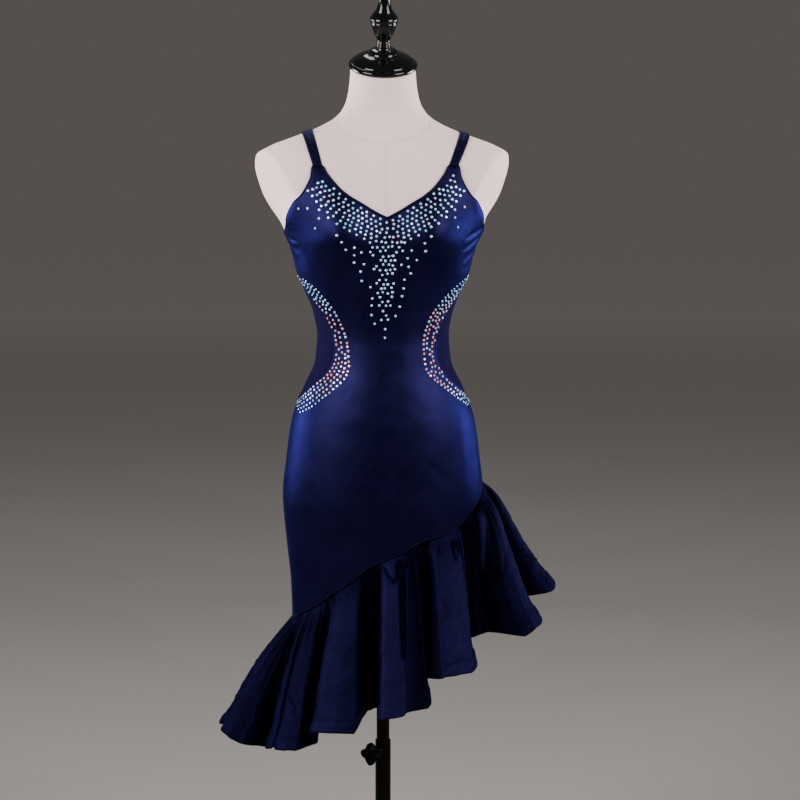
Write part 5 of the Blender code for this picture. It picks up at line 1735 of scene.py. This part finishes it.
def finish_for(name, context):
    """The named finish, made once from the colours in the panel."""
    found = bpy.data.materials.get(name)
    if found:
        return found
    sizes, colours = context.scene.dress_sizes, context.scene.dress_colours
    navy, sheen = tuple(colours.satin), tuple(colours.satin_sheen)
    # Each satin's dye, roughness, weave's pitch and gloss, and whether it is folded and takes
    # the painted fold shade.
    satins = {
        "navy_satin": (navy, 0.41, 0.0009, 0.8, False),
        "flounce_satin": (shade(navy, 0.98), 0.48, 0.0009, 0.38, True),
        # The band's dye is painted lighter, as the light the stiff band catches.
        "band_satin_painted_light": (shade(navy, 1.1), 0.48, 0.0007, 0.4, True),
        # The straps' dye is painted darker, as shade against the light falling on their tops.
        "strap_satin_painted_dark": (shade(navy, 0.45), 0.5, 0.0007, 0.36, False),
        # A real binding, its dye painted darker as the shade along the turned neck edge.
        "binding_satin_painted_dark": (shade(navy, 0.5), 0.46, 0.0006, 0.3, False),
    }
    # Each hard finish's colour, roughness, grain and its strength, coat, wear and shine.
    hard = {
        "black_lacquer": (tuple(colours.lacquer), 0.12, 40, 0.02, 0.4, 0, 0.12),
        "stand_enamel": (tuple(colours.enamel), 0.24, 260, 0.03, 0, 0, 0.05),
        "grip_plastic": (tuple(colours.plastic), 0.42, 900, 0.12, 0, 0, 0.04),
        "fibre_board": (tuple(colours.enamel), 0.7, 300, 0.3, 0, 0.02, 0.12),
    }
    others = {
        "stretch_net": lambda: net_finish(name, tuple(colours.net), sheen, sizes.net_pitch),
        "navy_thread": lambda: thread_finish(name, shade(navy, 1.2), 0.0008),
        "cut_crystal": lambda: crystal_finish(name),
        "jersey_cover": lambda: cover_finish(name, tuple(colours.cover)),
        "pale_paper": lambda: floor_finish(name, tuple(colours.floor)),
    }
    if name in satins:
        return satin_finish(name, sheen, *satins[name])
    return hard_finish(name, *hard[name]) if name in hard else others[name]()


# ---- stage
VIEW = Sizes(turn=-3.5, rise=7, away=4, aim=0.93, lens=112.5, shift=0.02125)
# Each light: its turn round the dress, height and distance, the height it points at, its
# size, power, the angle it spreads over, and how warm it is.
LIGHTS = table("turn rise away aim width height power spread warmth", [
    (-110, 1.22, 1.7, 1.42, 0.8, 0.8, 6.9, 60, 0.99),
    (106, 1.22, 1.7, 1.42, 0.8, 0.8, 6.2, 60, 0.99),
    (-52, 1.95, 2.4, 1.05, 1.2, 1.4, 64, 150, 0.985),
    (50, 1.95, 2.4, 1.05, 1.2, 1.4, 54, 150, 0.985),
    (180, 4.4, 1.9, 0.93, 1.6, 1.6, 60, 180, 1),
])


FLOOR = Sizes(reach=30, rows=13, under=0.0004)  # it lies a hair under the base
ROOM = Sizes(colour=(0.54, 0.485, 0.45, 1), strength=0.18)


def put_stage(paper):
    """A pale floor, five soft lights, a dim room and the camera."""
    rows = FLOOR.rows
    side = np.linspace(-FLOOR.reach, FLOOR.reach, rows)
    grid = np.stack(np.meshgrid(side, side) + [np.full((rows, rows), -FLOOR.under)], -1)
    mesh = bpy.data.meshes.new("paper_floor")
    mesh.from_pydata(grid.reshape(-1, 3).tolist(), [], quads_of(grid_index(rows, rows)).tolist())
    mesh.materials.append(paper)
    floor = linked("paper_floor", mesh)
    aim = Vector((0, 0, VIEW.aim))
    for number, (turn, rise, away, at, width, height, power, spread, warmth) in enumerate(
            zip(*LIGHTS.values())):
        data = bpy.data.lights.new(f"soft_light_{number}", "AREA")
        data.shape, data.size, data.size_y = "RECTANGLE", width, height
        data.energy, data.color = power, (1, warmth, warmth * warmth)
        data.spread = math.radians(spread)
        light = linked(data.name, data)
        angle = math.radians(turn)
        light.location = (away * math.sin(angle), -away * math.cos(angle), rise)
        way = Vector((0, 0, at)) - light.location
        light.rotation_euler = way.to_track_quat("-Z", "Y").to_euler()
    world = bpy.data.worlds.new("grey_room")
    world.use_nodes = True
    background = world.node_tree.nodes["Background"]
    background.inputs["Color"].default_value = ROOM.colour
    background.inputs["Strength"].default_value = ROOM.strength
    bpy.context.scene.world = world
    camera = bpy.data.cameras.new("camera")
    camera.lens, camera.shift_x = VIEW.lens, VIEW.shift
    held = linked("camera", camera)
    turn, rise = math.radians(VIEW.turn), math.radians(VIEW.rise)
    back = Vector((math.sin(turn) * math.cos(rise), -math.cos(turn) * math.cos(rise),
                   math.sin(rise)))
    held.location = aim + back * VIEW.away
    held.rotation_euler = back.to_track_quat("Z", "Y").to_euler()
    bpy.context.scene.camera = held


# ---- settings, operators, panel
def length_prop(name, description, default, low, high):
    """A length in metres, shown in the scene's units."""
    return FloatProperty(name=name, description=description, default=default, min=low, max=high,
                         unit="LENGTH", subtype="DISTANCE", precision=5)


def colour_prop(name, description, default):
    """A colour with four channels."""
    return FloatVectorProperty(name=name, description=description, default=default, size=4,
                               min=0, max=1, subtype="COLOR")


class DressSizes(PropertyGroup):
    """Sizes of the finished cloth, stones and stitches."""

    cloth: length_prop("Satin thickness", "Thickness of the satin", 0.0008, 0.0003, 0.0015)
    net: length_prop("Net thickness", "Thickness of the side openings' net", 0.0004, 0.0002, 0.001)
    net_pitch: length_prop("Net pitch", "From one hole of the net to the next", 0.0016, 0.0008, 0.004)
    strap_width: length_prop("Strap width", "Width of each shoulder strap", 0.0165, 0.008, 0.025)
    hem_band: length_prop("Hem band", "Width of the stiffened band at the hem", 0.022, 0.01, 0.03)
    stone_radius: length_prop("Stone radius", "Radius of a full-size stone", 0.0024, 0.001, 0.004)
    stitch_pitch: length_prop("Stitch pitch", "From one stitch to the next", 0.0038, 0.002, 0.008)


class DressColours(PropertyGroup):
    """Colours of the dress, the form and its stand."""

    satin: colour_prop("Satin", "Dye of the satin", (0.0056, 0.005, 0.0285, 1))
    satin_sheen: colour_prop("Satin sheen", "Tint of the satin's gloss", (0.32, 0.27, 1, 1))
    net: colour_prop("Net", "Colour of the side nets", (0.005, 0.0034, 0.02, 1))
    crystal: colour_prop("Stones", "Tint of most stones", (0.2, 0.68, 1, 1))
    blush: colour_prop("Blush stones", "Tint of the crescents' middle", (1, 0.31, 0.24, 1))
    lilac: colour_prop("Lilac stones", "Other tint of the crescents' middle", (0.56, 0.38, 0.92, 1))
    cover: colour_prop("Form cover", "Colour of the form's jersey", (0.785, 0.575, 0.58, 1))
    lacquer: colour_prop("Lacquer", "Colour of the cap and finial", (0.0025, 0.0025, 0.003, 1))
    enamel: colour_prop("Enamel", "Colour of the pole, tube and base", (0.0016, 0.0016, 0.0017, 1))
    plastic: colour_prop("Grip plastic", "Colour of the knob", (0.002, 0.002, 0.0022, 1))
    floor: colour_prop("Floor", "Colour of the paper floor", (0.4, 0.375, 0.36, 1))


class DRESS_OT_panels(Operator):
    """Sews the front and back satin panels"""

    bl_idname = "dress.panels"
    bl_label = "Satin panels"

    def execute(self, context):
        put_front_and_back(context.scene.dress_sizes, finish_for("navy_satin", context))
        return {"FINISHED"}


class DRESS_OT_straps(Operator):
    """Makes the two shoulder straps"""

    bl_idname = "dress.straps"
    bl_label = "Straps"

    def execute(self, context):
        put_straps(context.scene.dress_sizes, finish_for("strap_satin_painted_dark", context))
        return {"FINISHED"}


class DRESS_OT_edges(Operator):
    """Binds the neckline and rolls the other edges"""

    bl_idname = "dress.edges"
    bl_label = "Bound and rolled edges"

    def execute(self, context):
        put_edges(finish_for("binding_satin_painted_dark", context), finish_for("navy_satin", context))
        return {"FINISHED"}


class DRESS_OT_nets(Operator):
    """Insets the net in the side openings"""

    bl_idname = "dress.nets"
    bl_label = "Side nets"

    def execute(self, context):
        put_side_nets(context.scene.dress_sizes, finish_for("stretch_net", context))
        return {"FINISHED"}


class DRESS_OT_flounce(Operator):
    """Gathers the flounce on the skirt, with its hem bands and all the stitches"""

    bl_idname = "dress.flounce"
    bl_label = "Flounce and stitches"

    def execute(self, context):
        sizes = context.scene.dress_sizes
        flounce = put_flounce(sizes, finish_for("flounce_satin", context),
                              finish_for("band_satin_painted_light", context))
        put_stitches(sizes, finish_for("navy_thread", context), flounce)
        return {"FINISHED"}


class DRESS_OT_stones(Operator):
    """Glues the stones on the front"""

    bl_idname = "dress.stones"
    bl_label = "Stones"

    def execute(self, context):
        put_stones(context.scene.dress_sizes, context.scene.dress_colours,
                   finish_for("cut_crystal", context))
        return {"FINISHED"}


class DRESS_OT_form(Operator):
    """Builds the covered form, its board, its neck cap and finial"""

    bl_idname = "dress.form"
    bl_label = "Dress form"

    def execute(self, context):
        put_form(finish_for("jersey_cover", context), finish_for("fibre_board", context))
        put_neck_finish(finish_for("black_lacquer", context))
        return {"FINISHED"}


class DRESS_OT_stand(Operator):
    """Builds the socket, pole, tube and base, and the clamp knob"""

    bl_idname = "dress.stand"
    bl_label = "Stand and knob"

    def execute(self, context):
        put_stand(finish_for("stand_enamel", context))
        put_knob(finish_for("grip_plastic", context))
        return {"FINISHED"}


class DRESS_OT_stage(Operator):
    """Sets out the floor, lights and camera"""

    bl_idname = "dress.stage"
    bl_label = "Stage"

    def execute(self, context):
        put_stage(finish_for("pale_paper", context))
        return {"FINISHED"}


OPERATORS = (DRESS_OT_form, DRESS_OT_stand, DRESS_OT_panels, DRESS_OT_straps, DRESS_OT_edges,
             DRESS_OT_nets, DRESS_OT_flounce, DRESS_OT_stones, DRESS_OT_stage)


class DRESS_PT_panel(Panel):
    """Sizes, colours and the pieces of the dress, in the order they are made"""

    bl_idname = "DRESS_PT_panel"
    bl_label = "Salsa dance dress"
    bl_space_type = "VIEW_3D"
    bl_region_type = "UI"
    bl_category = "Dress"

    def draw(self, context):
        for settings in (context.scene.dress_sizes, context.scene.dress_colours):
            box = self.layout.box()
            for name in settings.__annotations__:
                box.prop(settings, name)
        for operator in OPERATORS:
            self.layout.operator(operator.bl_idname)


CLASSES = (DressSizes, DressColours, *OPERATORS, DRESS_PT_panel)


def register():
    for made in CLASSES:
        bpy.utils.register_class(made)
    bpy.types.Scene.dress_sizes = PointerProperty(type=DressSizes)
    bpy.types.Scene.dress_colours = PointerProperty(type=DressColours)


def unregister():
    del bpy.types.Scene.dress_colours
    del bpy.types.Scene.dress_sizes
    for made in reversed(CLASSES):
        bpy.utils.unregister_class(made)


def main():
    register()
    for operator in OPERATORS:
        group, name = operator.bl_idname.split(".")
        getattr(getattr(bpy.ops, group), name)()


if __name__ == "__main__":
    main()
